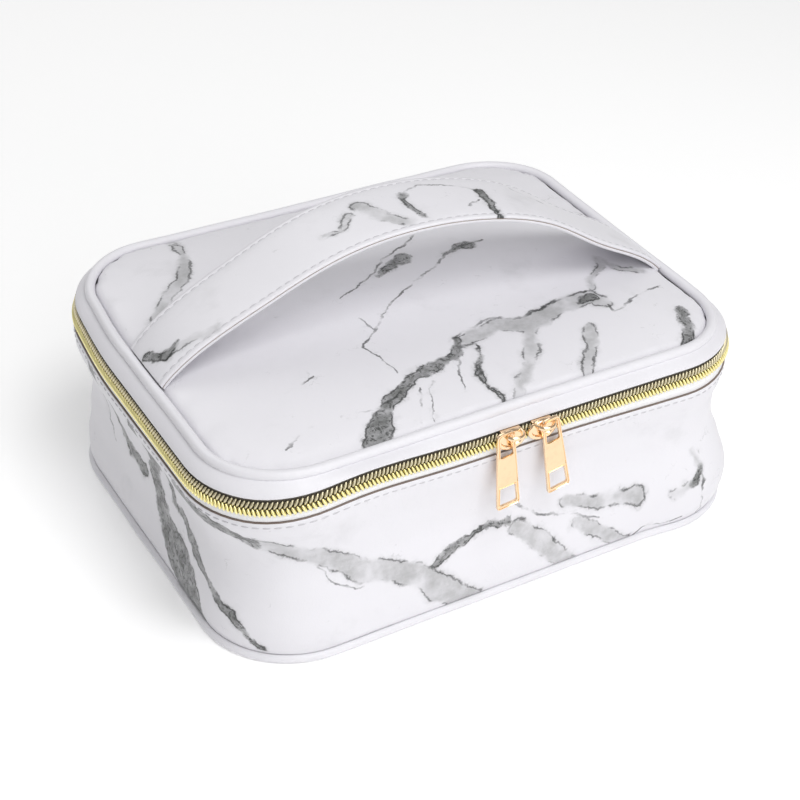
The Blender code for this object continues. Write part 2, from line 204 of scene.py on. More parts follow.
STRAP_LINES = (
    (0.4, 0.3, ((24, -16), (33, -12))),
    (0.4, 0.3, ((56, 4), (59, -1), (66, -4), (71, -7))),
    (0.5, 0.3, ((0, 3), (12, 8), (30, 2), (39, -5))),
)


def size_choice(name, description, default):
    return FloatProperty(name=name, description=description, default=default, unit="LENGTH")


def colour_choice(name, description, default):
    kind = {"subtype": "COLOR", "size": 3, "min": 0, "max": 1}
    return FloatVectorProperty(name=name, description=description, default=default, **kind)


class CaseSizes(bpy.types.PropertyGroup):
    """Sizes of the soft and sewn details, in metres."""

    piping: size_choice("Lid piping", "Radius of the lid's piping", 0.0024)
    base_piping: size_choice("Base piping", "Radius of the base piping", 0.0019)
    lid_puff: size_choice("Lid puff", "How far the padded lid stands up", 0.0042)
    tooth_pitch: size_choice("Tooth pitch", "Distance between zip teeth", 0.00185)
    stitch_pitch: size_choice("Stitch pitch", "Distance between stitches", 0.0043)
    stitch_length: size_choice("Stitch length", "Length of one stitch", 0.0031)
    stitch_inset: size_choice("Stitch inset", "From a strap's edge to its stitches", 0.0026)
    softness: size_choice("Softness", "How far the walls wander from true", 0.0007)


class CaseColours(bpy.types.PropertyGroup):
    """Colours of the finishes."""

    leather: colour_choice("Leather", "White of the faux leather", (0.765, 0.755, 0.79))
    vein: colour_choice("Vein", "Grey of the wide veins", (0.235, 0.24, 0.235))
    dark_vein: colour_choice("Dark vein", "Grey of the dark veins", (0.10, 0.105, 0.10))
    vein_edge: colour_choice("Vein edge", "Near black of the vein edges", (0.018, 0.02, 0.018))
    lining: colour_choice("Lining", "Grey of the lining cloth", (0.16, 0.16, 0.175))
    tape: colour_choice("Zip tape", "White of the lower zip tape", (0.90, 0.895, 0.91))
    # The upper tape's brown black is painted shade, for the shade under the lid band above the coil.
    dark_tape: colour_choice("Dark tape", "Brown black of the upper zip tape", (0.085, 0.072, 0.055))
    coil: colour_choice("Coil", "Yellow gold of the lower coil", (0.98, 0.89, 0.45))
    # The upper coil is the same gold as the lower one; its darker copy is painted shade, for the shade under
    # the lid band.
    painted_shade_coil: colour_choice("Upper coil", "Paler gold of the upper coil", (0.66, 0.60, 0.42))
    gold: colour_choice("Rose gold", "Champagne gold of the sliders", (0.97, 0.72, 0.47))


# Shader maths.


class Wire:
    """A value inside a material, so that shader maths reads as plain sums."""

    def __init__(self, bench, socket):
        self.bench = bench
        self.socket = socket

    def __add__(self, other):
        return self.bench.sum("ADD", self, other)

    def __sub__(self, other):
        return self.bench.sum("SUBTRACT", self, other)

    def __rsub__(self, other):
        return self.bench.sum("SUBTRACT", other, self)

    def __mul__(self, other):
        return self.bench.sum("MULTIPLY", self, other)

    __radd__ = __add__
    __rmul__ = __mul__


class Bench:
    """One material under construction."""

    def __init__(self, name):
        self.material = bpy.data.materials.new(name)
        self.material.use_nodes = True
        self.tree = self.material.node_tree
        self.tree.nodes.clear()

    def node(self, kind, settings=None, inputs=None, output=0):
        made = self.tree.nodes.new("ShaderNode" + kind)
        for name, value in (settings or {}).items():
            setattr(made, name, value)
        for name, value in (inputs or {}).items():
            if isinstance(value, Wire):
                self.tree.links.new(value.socket, made.inputs[name])
            else:
                made.inputs[name].default_value = value
        return Wire(self, made.outputs[output])

    def sum(self, operation, *values):
        return self.node("Math", {"operation": operation}, dict(enumerate(values)))

    def vector(self, operation, *values, output=0):
        return self.node("VectorMath", {"operation": operation}, dict(enumerate(values)), output)

    def step(self, value, low, high):
        """0 where value is past low and 1 where it is past high, with a soft step between them."""
        settings = {"interpolation_type": "SMOOTHSTEP"}
        return self.node("MapRange", settings, {"Value": value, "From Min": low, "From Max": high})

    def mix(self, factor, first, second):
        colours = [(*c, 1.0) if isinstance(c, tuple) else c for c in (first, second)]
        return self.node("Mix", {"data_type": "RGBA"}, {0: factor, 6: colours[0], 7: colours[1]}, 2)

    def cloud(self, place, size, detail=2.0, roughness=0.55, output=0):
        """Noise whose blotches are about size millimetres across."""
        inputs = {"Vector": place, "Scale": 1.0 / size, "Detail": detail, "Roughness": roughness}
        return self.node("TexNoise", {}, inputs, output)

    def cells(self, place, size, feature="F1"):
        return self.node("TexVoronoi", {"feature": feature}, {"Vector": place, "Scale": 1.0 / size})

    def cut(self):
        """The place on the flat cloth, in millimetres, from the piece's own UV map."""
        return self.node("UVMap", {"uv_map": "cut"})

    def space(self):
        """The place in the case, in millimetres."""
        return self.vector("MULTIPLY", self.node("TexCoord", output=3), (MM, MM, MM))

    def bump(self, height, depth, strength=1.0, below=None):
        """A normal from a height of 0 to 1 that stands for a depth in millimetres."""
        inputs = {"Height": height, "Distance": depth / MM, "Strength": strength}
        if below is not None:
            inputs["Normal"] = below
        return self.node("Bump", {}, inputs)

    def finish(self, constants, **wires):
        """Closes the material. Constants are set on the shader's own sockets."""
        shader = self.tree.nodes.new("ShaderNodeBsdfPrincipled")
        for name, value in constants.items():
            shader.inputs[name].default_value = (*value, 1.0) if isinstance(value, tuple) else value
        for name, wire in wires.items():
            self.tree.links.new(wire.socket, shader.inputs[name.replace("_", " ")])
        out = self.tree.nodes.new("ShaderNodeOutputMaterial")
        self.tree.links.new(shader.outputs[0], out.inputs[0])
        return self.material


def colours():
    return bpy.context.scene.case_colours


def sizes():
    return bpy.context.scene.case_sizes


def vein_field(bench, place, veins):
    """How far a place is outside the nearest vein, in millimetres, and negative inside it."""
    nearest = None
    for start_width, end_width, points in veins:
        spans = len(points) - 1
        for index, (a, b) in enumerate(zip(points, points[1:])):
            along = Vector((b[0] - a[0], b[1] - a[1], 0.0))
            rel = bench.vector("SUBTRACT", place, (a[0], a[1], 0.0))
            part = bench.vector("DOT_PRODUCT", rel, along / along.length_squared, output=1)
            part = bench.node("Clamp", {}, {0: part})
            reached = bench.node("VectorMath", {"operation": "SCALE"}, {0: along, "Scale": part})
            off = bench.vector("SUBTRACT", rel, reached)
            distance = bench.vector("LENGTH", off, output=1)
            growth = (end_width - start_width) / spans
            width = start_width + growth * index
            inside = bench.sum("MULTIPLY_ADD", part, -growth, distance) - width
            nearest = inside if nearest is None else bench.sum("MINIMUM", nearest, inside)
    return nearest


def leather_grain(bench, place, depth=0.05):
    """Fine pebbled grain over a faint larger unevenness."""
    pebbles = bench.step(bench.cells(place, 0.75), 0.05, 0.75)
    fine = bench.bump(pebbles, depth, 0.35)
    return bench.bump(bench.cloud(place, 7.0, 3.0), 0.22, 0.5, fine)


def plain_leather(name, tint, on_cut=False):
    """White faux leather with grain and faint handling marks."""
    bench = Bench(name)
    place = bench.cut() if on_cut else bench.space()
    marks = bench.step(bench.cloud(place, 26.0, 4.0), 0.35, 0.75)
    colour = bench.mix(marks * 0.5, tuple(tint), tuple(c * 0.94 for c in tint))
    rough = bench.cloud(place, 4.0, 3.0) * 0.16 + 0.34
    constants = {"Specular IOR Level": 0.45}
    return bench.finish(constants, Base_Color=colour, Roughness=rough, Normal=leather_grain(bench, place))


def marbled_leather(name, dark_veins, grey_veins, fine_lines, stray=0.5):
    """White faux leather printed with grey veins that follow the given paths."""
    bench = Bench(name)
    flat = bench.cut()
    broad = bench.cloud(flat, 24.0, 2.0, output=1)
    close = bench.cloud(flat, 5.0, 4.0, 0.62, output=1)
    place = bench.vector("MULTIPLY_ADD", broad, (8.0, 8.0, 0.0), flat)
    place = bench.vector("MULTIPLY_ADD", close, (4.4, 4.4, 0.0), place)
    place = bench.vector("SUBTRACT", place, (6.2, 6.2, 0.0))
    mottle = bench.cloud(flat, 6.0, 6.0, 0.68)
    patches = bench.cloud(flat, 13.0, 3.0)
    wisps = bench.cloud(place, 38.0, 5.0, 0.6)

    thin = bench.sum("ABSOLUTE", wisps - 0.5)
    stray_lines = bench.step(thin, 0.006, 0.0) * bench.step(patches, 0.55, 0.72) * stray
    haze = bench.step(wisps, 0.56, 0.78) * 0.16
    colour = bench.mix(haze + stray_lines * 0.6, tuple(colours().leather), tuple(colours().vein))
    masks = []
    everything = None
    ragged = (mottle - 0.5) * 4.0 + (bench.cloud(flat, 15.0, 2.0) - 0.5) * 5.0
    broken = bench.step(bench.cloud(flat, 19.0, 3.0), 0.34, 0.58) * 0.6 + 0.4
    grey = (grey_veins, broken * 0.6, 1.8, colours().vein, 0.7)
    dark = (dark_veins, 0.92, 1.3, colours().dark_vein, 0.88)
    for veins, fill, softness, tint, edging in (grey, dark):
        if not veins:
            continue
        field = vein_field(bench, place, veins) + ragged
        tone = bench.step(mottle, 0.25, 0.7) * 0.5 + 0.5
        aura = bench.step(field, 3.5, 0.0) * bench.step(patches, 0.4, 0.7) * 0.28
        colour = bench.mix(aura, colour, tuple(colours().vein))
        body = bench.step(field, softness, -softness)
        colour = bench.mix(body * tone * fill, colour, tuple(tint))
        everything = field if everything is None else bench.sum("MINIMUM", everything, field)
        masks.append((field, edging))
    for field, edging in masks:
        edge = bench.sum("ABSOLUTE", field)
        rim = bench.step(edge, 0.85, 0.1) * bench.step(patches, 0.42, 0.56)
        colour = bench.mix(rim * edging, colour, tuple(colours().vein_edge))
    if dark_veins:
        streaks = bench.cloud(place, 2.2, 5.0, 0.75)
        core = bench.step(masks[-1][0], 1.4, -1.0) * bench.step(streaks, 0.51, 0.6)
        colour = bench.mix(core * 0.8, colour, tuple(colours().vein_edge))
    if fine_lines:
        lines = vein_field(bench, place, fine_lines)
        halo = bench.step(lines, 4.0, 0.0) * bench.step(mottle, 0.5, 0.8) * 0.3
        colour = bench.mix(halo, colour, tuple(colours().vein))
        drawn = bench.step(lines + (mottle - 0.5) * 1.6, 0.45, -0.15) * bench.step(patches, 0.36, 0.6)
        colour = bench.mix(drawn * 0.8, colour, tuple(colours().vein_edge))
    if everything is not None:
        cracks = bench.step(bench.cells(place, 7.0, "DISTANCE_TO_EDGE"), 0.055, 0.0)
        shell = bench.step(everything, 2.2, -0.2) * bench.step(everything, -1.6, 0.2)
        near = shell * bench.step(patches, 0.46, 0.62)
        colour = bench.mix(cracks * near * 0.6, colour, tuple(colours().vein_edge))
    rough = bench.cloud(flat, 4.0, 3.0) * 0.14 + 0.33
    constants = {"Specular IOR Level": 0.45}
    return bench.finish(constants, Base_Color=colour, Roughness=rough, Normal=leather_grain(bench, flat))


def woven_cloth(name, tint, pitch, rough, depth=0.12, sheen=0.2, shade=0.62):
    """A plain weave of threads, a pitch apart in millimetres, with painted shade darkening the gaps between
    threads.
    """
    bench = Bench(name)
    place = bench.cut()
    wave = {"wave_type": "BANDS", "wave_profile": "SIN"}
    speed = {"Vector": place, "Scale": 1.0 / pitch / 3.18, "Distortion": 0.6, "Detail": 1.0}
    weft = bench.node("TexWave", {**wave, "bands_direction": "X"}, speed)
    warp = bench.node("TexWave", {**wave, "bands_direction": "Y"}, speed)
    weave = bench.sum("MAXIMUM", weft, warp)
    fade = bench.cloud(place, 18.0, 3.0)
    # Painted shade: where neither thread crowns, the weave is darkened to shade times the tint.
    threads = bench.mix(weave, tuple(c * shade for c in tint), tuple(tint))
    colour = bench.mix(bench.step(fade, 0.3, 0.8) * 0.3, threads, tuple(c * (shade + 1) / 2 for c in tint))
    ripple = bench.bump(bench.cloud(place, 14.0, 3.0), 0.5, 0.5)
    constants = {"Roughness": rough, "Sheen Weight": sheen, "Specular IOR Level": 0.3}
    return bench.finish(constants, Base_Color=colour, Normal=bench.bump(weave, depth, 0.6, ripple))


def open_mesh(name, tint):
    """A black net whose holes are cut by its alpha."""
    bench = Bench(name)
    place = bench.cut()
    holes = bench.step(bench.cells(place, 1.5, "DISTANCE_TO_EDGE"), 0.16, 0.1)
    colour = bench.mix(bench.cloud(place, 10.0), tuple(tint), tuple(c * 0.6 for c in tint))
    constants = {"Roughness": 0.75, "Sheen Weight": 0.2}
    return bench.finish(constants, Base_Color=colour, Alpha=holes * 0.98 + 0.02)


def gold_metal(name, tint, rough, brushed):
    """Plated metal with fine brushing and small rubbed patches."""
    bench = Bench(name)
    place = bench.space()
    lines = bench.vector("MULTIPLY", place, (3.0, 1.0, 0.35))
    brush = bench.cloud(lines, 0.5, 3.0)
    rubs = bench.step(bench.cloud(place, 3.0, 4.0), 0.45, 0.7)
    colour = bench.mix(rubs * 0.35, tuple(tint), tuple(c * 0.88 for c in tint))
    roughness = rubs * 0.08 + brush * brushed + rough
    normal = bench.bump(brush, 0.02, 0.25 * brushed + 0.03)
    return bench.finish({"Metallic": 1.0}, Base_Color=colour, Roughness=roughness, Normal=normal)


def thread_finish(name, tint):
    """Twisted sewing thread."""
    bench = Bench(name)
    place = bench.space()
    twist = bench.cloud(bench.vector("MULTIPLY", place, (2.5, 2.5, 6.0)), 0.6, 2.0)
    colour = bench.mix(twist, tuple(tint), tuple(c * 0.82 for c in tint))
    constants = {"Roughness": 0.62, "Sheen Weight": 0.15}
    return bench.finish(constants, Base_Color=colour, Normal=bench.bump(twist, 0.05, 0.5))


def rough_board(name, tint):
    """Grey board, flecked with fibres."""
    bench = Bench(name)
    place = bench.space()
    flecks = bench.step(bench.cloud(bench.vector("MULTIPLY", place, (1.0, 3.0, 3.0)), 1.4, 4.0), 0.45, 0.6)
    colour = bench.mix(flecks, tint, tuple(c * 0.72 for c in tint))
    return bench.finish({"Roughness": 0.9}, Base_Color=colour, Normal=bench.bump(flecks, 0.1, 0.5))


def ready(name, maker, *settings):
    """The finish of that name, made once."""
    return bpy.data.materials.get(name) or maker(name, *settings)


def white_leather():
    return ready("white_leather_finish", plain_leather, colours().leather)


def marble_walls():
    return ready("marble_walls_finish", marbled_leather, WALL_DARK, WALL_GREY, WALL_LINES)


def marble_lid():
    return ready("marble_lid_finish", marbled_leather, LID_DARK, LID_GREY, LID_LINES)


def marble_strap():
    return ready("marble_strap_finish", marbled_leather, STRAP_DARK, STRAP_GREY, STRAP_LINES)


def marble_plain():
    return ready("marble_plain_finish", marbled_leather, (), (), (), 1.0)


def lining_cloth():
    return ready("lining_cloth_finish", woven_cloth, colours().lining, 0.7, 0.7)


# The thread is white; its grey tint is painted shade, for the shadows round the sunken stitches.
def grey_shaded_thread():
    return ready("white_thread_finish", thread_finish, (0.60, 0.59, 0.62))


def black_elastic():
    return ready("elastic_finish", woven_cloth, (0.02, 0.02, 0.022), 0.8, 0.85)


# Shapes round the case.


def run_distance(x, y):
    """Distance round the case from the middle of the front, positive towards +X."""
    side = copysign(1.0, x)
    x = abs(x)
    if x <= STRAIGHT_X and y < 0:
        return side * x
    if y < -STRAIGHT_Y:
        turned = atan2(x - STRAIGHT_X, -y - STRAIGHT_Y)
        return side * (STRAIGHT_X + CORNER_RADIUS * turned)
    far = STRAIGHT_X + CORNER_ARC
    if y <= STRAIGHT_Y:
        return side * (far + y + STRAIGHT_Y)
    far += 2 * STRAIGHT_Y
    if x > STRAIGHT_X:
        return side * (far + CORNER_RADIUS * atan2(y - STRAIGHT_Y, x - STRAIGHT_X))
    return side * (far + CORNER_ARC + STRAIGHT_X - x)


def run_place(distance):
    """The point on the widest outline at a distance round it, with the directions outwards and onwards."""
    side = copysign(1.0, distance)
    left = abs(distance)
    if left <= STRAIGHT_X:
        point, outward = Vector((left, -HALF_DEPTH)), Vector((0.0, -1.0))
    elif left <= STRAIGHT_X + CORNER_ARC:
        angle = (left - STRAIGHT_X) / CORNER_RADIUS
        outward = Vector((sin(angle), -cos(angle)))
        point = Vector((STRAIGHT_X, -STRAIGHT_Y)) + outward * CORNER_RADIUS
    elif left <= STRAIGHT_X + CORNER_ARC + 2 * STRAIGHT_Y:
        point = Vector((HALF_LENGTH, left - STRAIGHT_X - CORNER_ARC - STRAIGHT_Y))
        outward = Vector((1.0, 0.0))
    elif left <= STRAIGHT_X + 2 * CORNER_ARC + 2 * STRAIGHT_Y:
        angle = (left - STRAIGHT_X - CORNER_ARC - 2 * STRAIGHT_Y) / CORNER_RADIUS
        outward = Vector((cos(angle), sin(angle)))
        point = Vector((STRAIGHT_X, STRAIGHT_Y)) + outward * CORNER_RADIUS
    else:
        beyond = left - STRAIGHT_X - 2 * CORNER_ARC - 2 * STRAIGHT_Y
        point, outward = Vector((STRAIGHT_X - beyond, HALF_DEPTH)), Vector((0.0, 1.0))
    point.x *= side
    outward.x *= side
    return point, outward, Vector((-outward.y, outward.x))


def outward_at(x, y):
    """The direction straight out of the case at a place."""
    nearest = Vector((max(-STRAIGHT_X, min(STRAIGHT_X, x)), max(-STRAIGHT_Y, min(STRAIGHT_Y, y))))
    away = Vector((x, y)) - nearest
    if away.length > 0.01:
        return away.normalized()
    return Vector((0.0, copysign(1.0, y)))


def turn(sign_x, sign_y):
    centre = (sign_x * STRAIGHT_X, sign_y * STRAIGHT_Y, 0.0)
    return {"cent": centre, "axis": (0, 0, 1), "angle": -pi / 2, "steps": CORNER_STEPS}


def straight(x, y, steps=None):
    """A straight leg, in as many steps as it needs unless told."""
    steps = steps or max(1, round(hypot(x, y) / STEP))
    ahead = (x / steps, y / steps, 0)
    return {"cent": (0, 0, 0), "axis": (0, 0, 1), "dvec": ahead, "angle": 0.0, "steps": steps}


def round_the_front():
    """From the +X end of the back, round the front, to its -X end."""
    legs = [turn(1, 1), straight(0, -2 * STRAIGHT_Y), turn(1, -1), straight(-2 * STRAIGHT_X, 0)]
    return legs + [turn(-1, -1), straight(0, 2 * STRAIGHT_Y), turn(-1, 1)]


def front_legs():
    """From one end of the cloth hinge round the front to its other end."""
    tail = straight(STRAIGHT_X - HINGE_HALF - HINGE_GAP, 0)
    return [tail] + round_the_front() + [tail]


def whole_legs():
    return round_the_front() + [straight(2 * STRAIGHT_X, 0)]


def carry(bm, section, start_x, legs, closed=True):
    """Draws a section of (offset, height) at the back and spins it through each leg.

    Gives its first and its last edges.
    """
    points = [bm.verts.new((start_x, HALF_DEPTH + offset, z)) for offset, z in section]
    ahead = points[1:] + points[:1] if closed else points[1:]
    first = [bm.edges.new(pair) for pair in zip(points, ahead)]
    tip = points + first
    for leg in legs:
        tip = bmesh.ops.spin(bm, geom=tip, **leg)["geom_last"]
    return first, [part for part in tip if isinstance(part, bmesh.types.BMEdge)]


def front_band(section):
    """A section carried from hinge end to hinge end round the front, with closed ends."""
    bm = bmesh.new()
    for rim in carry(bm, section, HINGE_HALF + HINGE_GAP, front_legs()):
        bmesh.ops.contextual_create(bm, geom=rim)
    return bm


def whole_ring(section, closed=True):
    """A section carried right round the case."""
    bm = bmesh.new()
    carry(bm, section, STRAIGHT_X, whole_legs(), closed)
    bmesh.ops.remove_doubles(bm, verts=bm.verts, dist=0.01)
    return bm


def hinge_band(section):
    """A section carried along the straight cloth hinge."""
    bm = bmesh.new()
    for rim in carry(bm, section, -HINGE_HALF, [straight(2 * HINGE_HALF, 0)]):
        bmesh.ops.contextual_create(bm, geom=rim)
    return bm


def broad_faces(bm):
    """The faces with many corners, which cap the inside of a ring."""
    return [face for face in bm.faces if len(face.verts) > 8]


def rim_at(bm, height):
    """The open edges that lie at a height."""
    return [edge for edge in bm.edges if edge.is_boundary and abs(edge.verts[0].co.z - height) < 0.2]


def eased(value, low, high):
    """0 below low and 1 above high, with a soft step between them."""
    part = max(0.0, min(1.0, (value - low) / (high - low)))
    return part * part * (3 - 2 * part)


def bell(value, middle, width):
    """1 at the middle, falling softly to 0 on both sides."""
    return exp(-(((value - middle) / width) ** 2))


def smooth_profile(points, height):
    """The eased value of a list of (height, value)."""
    for (low, first), (high, second) in zip(points, points[1:]):
        if height <= high:
            return first + (second - first) * eased(height, low, high)
    return points[-1][1]


def wander(distance, z, size, seed):
    """Smooth unevenness from -1 to 1 along the wall."""
    return noise.noise(Vector((distance / size, z / size, seed)))


def soften_wall(bm):
    """Lets the walls wander a little, and leaves the zip line true."""
    amount = sizes().softness * MM
    for vertex in bm.verts:
        x, y, z = vertex.co
        far = run_distance(x, y)
        free = smooth_profile(((4.0, 0.25), (20.0, 1.0), (60.0, 1.0), (79.0, 0.0)), z)
        give = amount * 2.0 * wander(far, z, 42.0, 3.1) * free
        give += amount * 0.8 * wander(far, z, 15.0, 8.3) * free
        outward = outward_at(x, y)
        vertex.co += Vector((outward.x, outward.y, 0.0)) * give


def settle(point):
    """Moves a true place to where it is on the soft, settled case.

    The lid sinks at the rear and on the right, the leather folds over the right wall, the right wall
    bulges low, the left wall spreads out at the top, and the zip rises in a hump at the front left.
    """
    x, y, z = point
    back = (y + HALF_DEPTH) / (2 * HALF_DEPTH)
    front = 1.0 - back
    right = eased(x, 5.0, 110.0)
    left = eased(-x, 70.0, 118.0) * eased(front, 0.02, 0.42)

    lean = (LEAN_LEFT if x < 0 else LEAN_RIGHT) * x / HALF_LENGTH
    sunk = ((lean + SINK_REAR) * back + SINK_RIGHT * right) * eased(z, 55.0, 84.0)
    at_fold = eased(z, 55.0, 77.0) * (1.0 - eased(z, 80.8, 82.8))
    fold = FOLD_RIGHT * right * front * at_fold
    bulge = BULGE_RIGHT * bell(z, 18.0, 23.0) * eased(x, 70.0, 126.0) * (1.0 - 0.5 * back)
    outward = outward_at(x, y) * bulge
    spread = SPREAD_LEFT * left * eased(z, 52.0, 80.0)
    spread += SPREAD_REAR * back * eased(-x, 90.0, 125.0) * bell(z, 66.0, 13.0)
    droop = DROOP_LEFT * left * eased(z, 60.0, 80.0) * (1.0 - eased(z, 91.0, 96.0))
    hump = bell(x, -68.0, 27.0) * front * front * eased(z, 62.0, 80.0)
    droop -= hump * (HUMP_RISE - HUMP_FADE * eased(z, 91.5, 97.0))
    return Vector((x + outward.x - spread, y + outward.y, z - sunk - fold - droop))


def round_ring(offset, z, radius, sides=12):
    steps = [2 * pi * step / sides for step in range(sides)]
    return [(offset + radius * cos(angle), z + radius * sin(angle)) for angle in steps]


# Finishing a piece.


def on_wall(point):
    return run_distance(point.x, point.y), point.z


def on_back(point):
    return 2 * STRAIGHT_Y + 2 * CORNER_ARC + 2 * STRAIGHT_X - point.x, point.z


def from_above(point):
    return point.x, point.y


def along_the_wall(point):
    return point.x, point.z


def boxed(point):
    """Round the wall on the sides, and from above on the floor."""
    if point.z < 8.0:
        return from_above(point)
    return on_wall(point)


def finish_piece(bm, name, body, slot, finish, stands_for=(), flat=None, crease=38.0, extra=()):
    """Makes a finished object of a mesh drawn in millimetres, riding on its CAD body."""
    bmesh.ops.recalc_face_normals(bm, faces=bm.faces)
    if flat:
        layer = bm.loops.layers.uv.new("cut")
        for face in bm.faces:
            for loop in face.loops:
                loop[layer].uv = flat(loop.vert.co)
    for vertex in bm.verts:
        vertex.co = settle(vertex.co)
    bmesh.ops.scale(bm, vec=(1 / MM, 1 / MM, 1 / MM), verts=bm.verts)
    mesh = bpy.data.meshes.new(name)
    bm.to_mesh(mesh)
    bm.free()
    mesh.shade_smooth()
    mesh.set_sharp_from_angle(angle=radians(crease))
    for each in (finish, *extra):
        mesh.materials.append(each)
    made = bpy.data.objects.new(name, mesh)
    bpy.context.scene.collection.objects.link(made)
    if body:
        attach(made, body)
    if stands_for:
        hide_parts(*stands_for)
    return made


def dress_node(node, finish):
    """Gives a carried-over CAD node its finish."""
    for slot in frame["nodes"][node].material_slots:
        slot.material = finish


def thickened(made, thickness):
    """Gives a sheet its thickness behind its faces, or before them where it is negative."""
    shell = made.modifiers.new("thickness", "SOLIDIFY")
    shell.thickness = thickness / MM
    shell.offset = -1.0


def add_stitch(bm, middle, along, up, length):
    """One sunken stitch: a plump little bar pulled in at both ends."""
    across = up.cross(along)
    turned = Matrix((along, across, up)).transposed().to_4x4()
    shape = Matrix.Diagonal((length / 2, 0.4, 0.34, 1.0))
    place = Matrix.Translation(middle) @ turned @ shape @ Matrix.Rotation(pi / 2, 4, "Y")
    bmesh.ops.create_uvsphere(bm, u_segments=6, v_segments=5, radius=1.0, matrix=place)


def add_many(bm, count, add_one, batch=20):
    """Adds count small shapes. Batches keep it quick, because an operator looks at the whole of its mesh."""
    gathered = bpy.data.meshes.new("batch")
    for first in range(0, count, batch):
        small = bmesh.new()
        for index in range(first, min(count, first + batch)):
            add_one(small, index)
        small.to_mesh(gathered)
        small.free()
        bm.from_mesh(gathered)
    bpy.data.meshes.remove(gathered)


def stitch_row(place_at, start, end):
    """Stitches at even steps between two distances. place_at gives (point, onwards, up)."""
    bm = bmesh.new()
    pitch = sizes().stitch_pitch * MM
    length = sizes().stitch_length * MM

    def add_one(small, index):
        middle, along, up = place_at(start + (index + 0.5) * pitch)
        lean = noise.noise(Vector((index * 0.7, start, 1.0))) * 0.12
        add_stitch(small, middle, (along + up.cross(along) * lean).normalized(), up, length)

    add_many(bm, floor((end - start) / pitch), add_one)
    return bm


class TrainCaseOperator(bpy.types.Operator):
    """Shared settings of the case's operators."""

    bl_options = {"REGISTER", "UNDO"}


class CASE_OT_walls(TrainCaseOperator):
    """Padded marbled wall round the front and sides, the back panel and their topstitching."""

    bl_idname = "case.walls"
    bl_label = "Walls"

    def section(self):
        """Outside from foot to fold, over the fold, and down the inside of the padding."""
        low = WALL_FOOT_Z - 0.4
        heights = [low + (WALL_TOP_Z - 0.8 - low) * step / 20 for step in range(21)]
        outer = [(smooth_profile(WALL_PROFILE, z), z) for z in heights]
        top = WALL_TOP_Z
        fold = [(0.22, top - 0.5), (-0.1, top), (-0.7, top + 0.1), (-1.15, top - 0.3), (-1.3, top - 1.5)]
        fold += [(-1.9, 75.8), (-3.6, 75.3)]
        inner = [(offset - PAD_THICKNESS, z) for offset, z in reversed(outer) if z < 74.5]
        foot = [(-5.6, WALL_FOOT_Z + 0.1), (-2.0, WALL_FOOT_Z - 0.5)]
        return outer + fold + inner + foot

    def execute(self, context):
        looks = ("case_body", "marble_leather", marble_walls())
        bm = front_band(self.section())
        soften_wall(bm)
        wall = finish_piece(bm, "marbled_wall", *looks, ("front_side_wall", "body_foam"), on_wall)
        bm = hinge_band(self.section())
        soften_wall(bm)
        back = finish_piece(bm, "marbled_back", *looks, ("back_panel",), on_back)
        self.topstitch()
        self.fold_edge()
        return {"FINISHED"}

    def fold_edge(self):
        """The brown line along the fold beside the zip tape: partly the leather's painted edge, partly
        painted shade in the fold.
        """
        z = WALL_TOP_Z
        edge = [(0.05, z - 0.2), (0.16, z + 0.05), (-0.1, z + 0.38), (-0.7, z + 0.4), (-0.8, z - 0.2)]
        bm = front_band(edge)
        # Painted shade: this brown stands partly for the edge paint and partly for the shade in the fold.
        brown = ready("raw_edge_finish", plain_leather, (0.17, 0.13, 0.11))
        finish_piece(bm, "fold_edge", "case_body", "white_leather", brown, (), on_wall)

    def topstitch(self):
        def place(distance):
            point, outward, onward = run_place(distance)
            z = WALL_TOP_Z - 2.6
            out = smooth_profile(WALL_PROFILE, z) - 0.02
            middle = Vector((*(point + outward * out), z))
            return middle, Vector((*onward, 0.0)), Vector((*outward, 0.0))

        end = 2 * STRAIGHT_X + 2 * CORNER_ARC + 2 * STRAIGHT_Y
        bm = stitch_row(place, -end, end)
        finish_piece(bm, "wall_topstitch", "case_body", "white_leather", grey_shaded_thread())


class CASE_OT_base(TrainCaseOperator):
    """Marbled base panel, its board and the piping round it."""

    bl_idname = "case.base"
    bl_label = "Base"

    TOP_Z = 1.3
    FOOT_Z = 0.05

    def execute(self, context):
        bm = whole_ring([(-2.9, self.TOP_Z), (-2.9, 0.5), (-3.6, self.FOOT_Z)], False)
        for height in (self.FOOT_Z, self.TOP_Z):
            bmesh.ops.contextual_create(bm, geom=rim_at(bm, height))
        bmesh.ops.inset_region(bm, faces=broad_faces(bm), thickness=6.0)
        looks = ("case_body", "marble_leather", marble_plain())
        finish_piece(bm, "marbled_base", *looks, ("bottom_panel",), from_above)
        self.piping()
        dress_node("base_board", ready("grey_board_finish", rough_board, (0.22, 0.19, 0.16)))
        return {"FINISHED"}

    def piping(self):
        radius = sizes().base_piping * MM
        bm = whole_ring(round_ring(-0.9, WALL_FOOT_Z - 0.6 - radius, radius))
        for vertex in bm.verts:
            far = run_distance(vertex.co.x, vertex.co.y)
            outward = outward_at(vertex.co.x, vertex.co.y)
            vertex.co += Vector((*outward, 0.0)) * 0.3 * wander(far, 2.0, 30.0, 5.0)
        looks = ("case_body", "white_leather", white_leather())
        finish_piece(bm, "base_piping", *looks, ("bottom_piping",), on_wall)


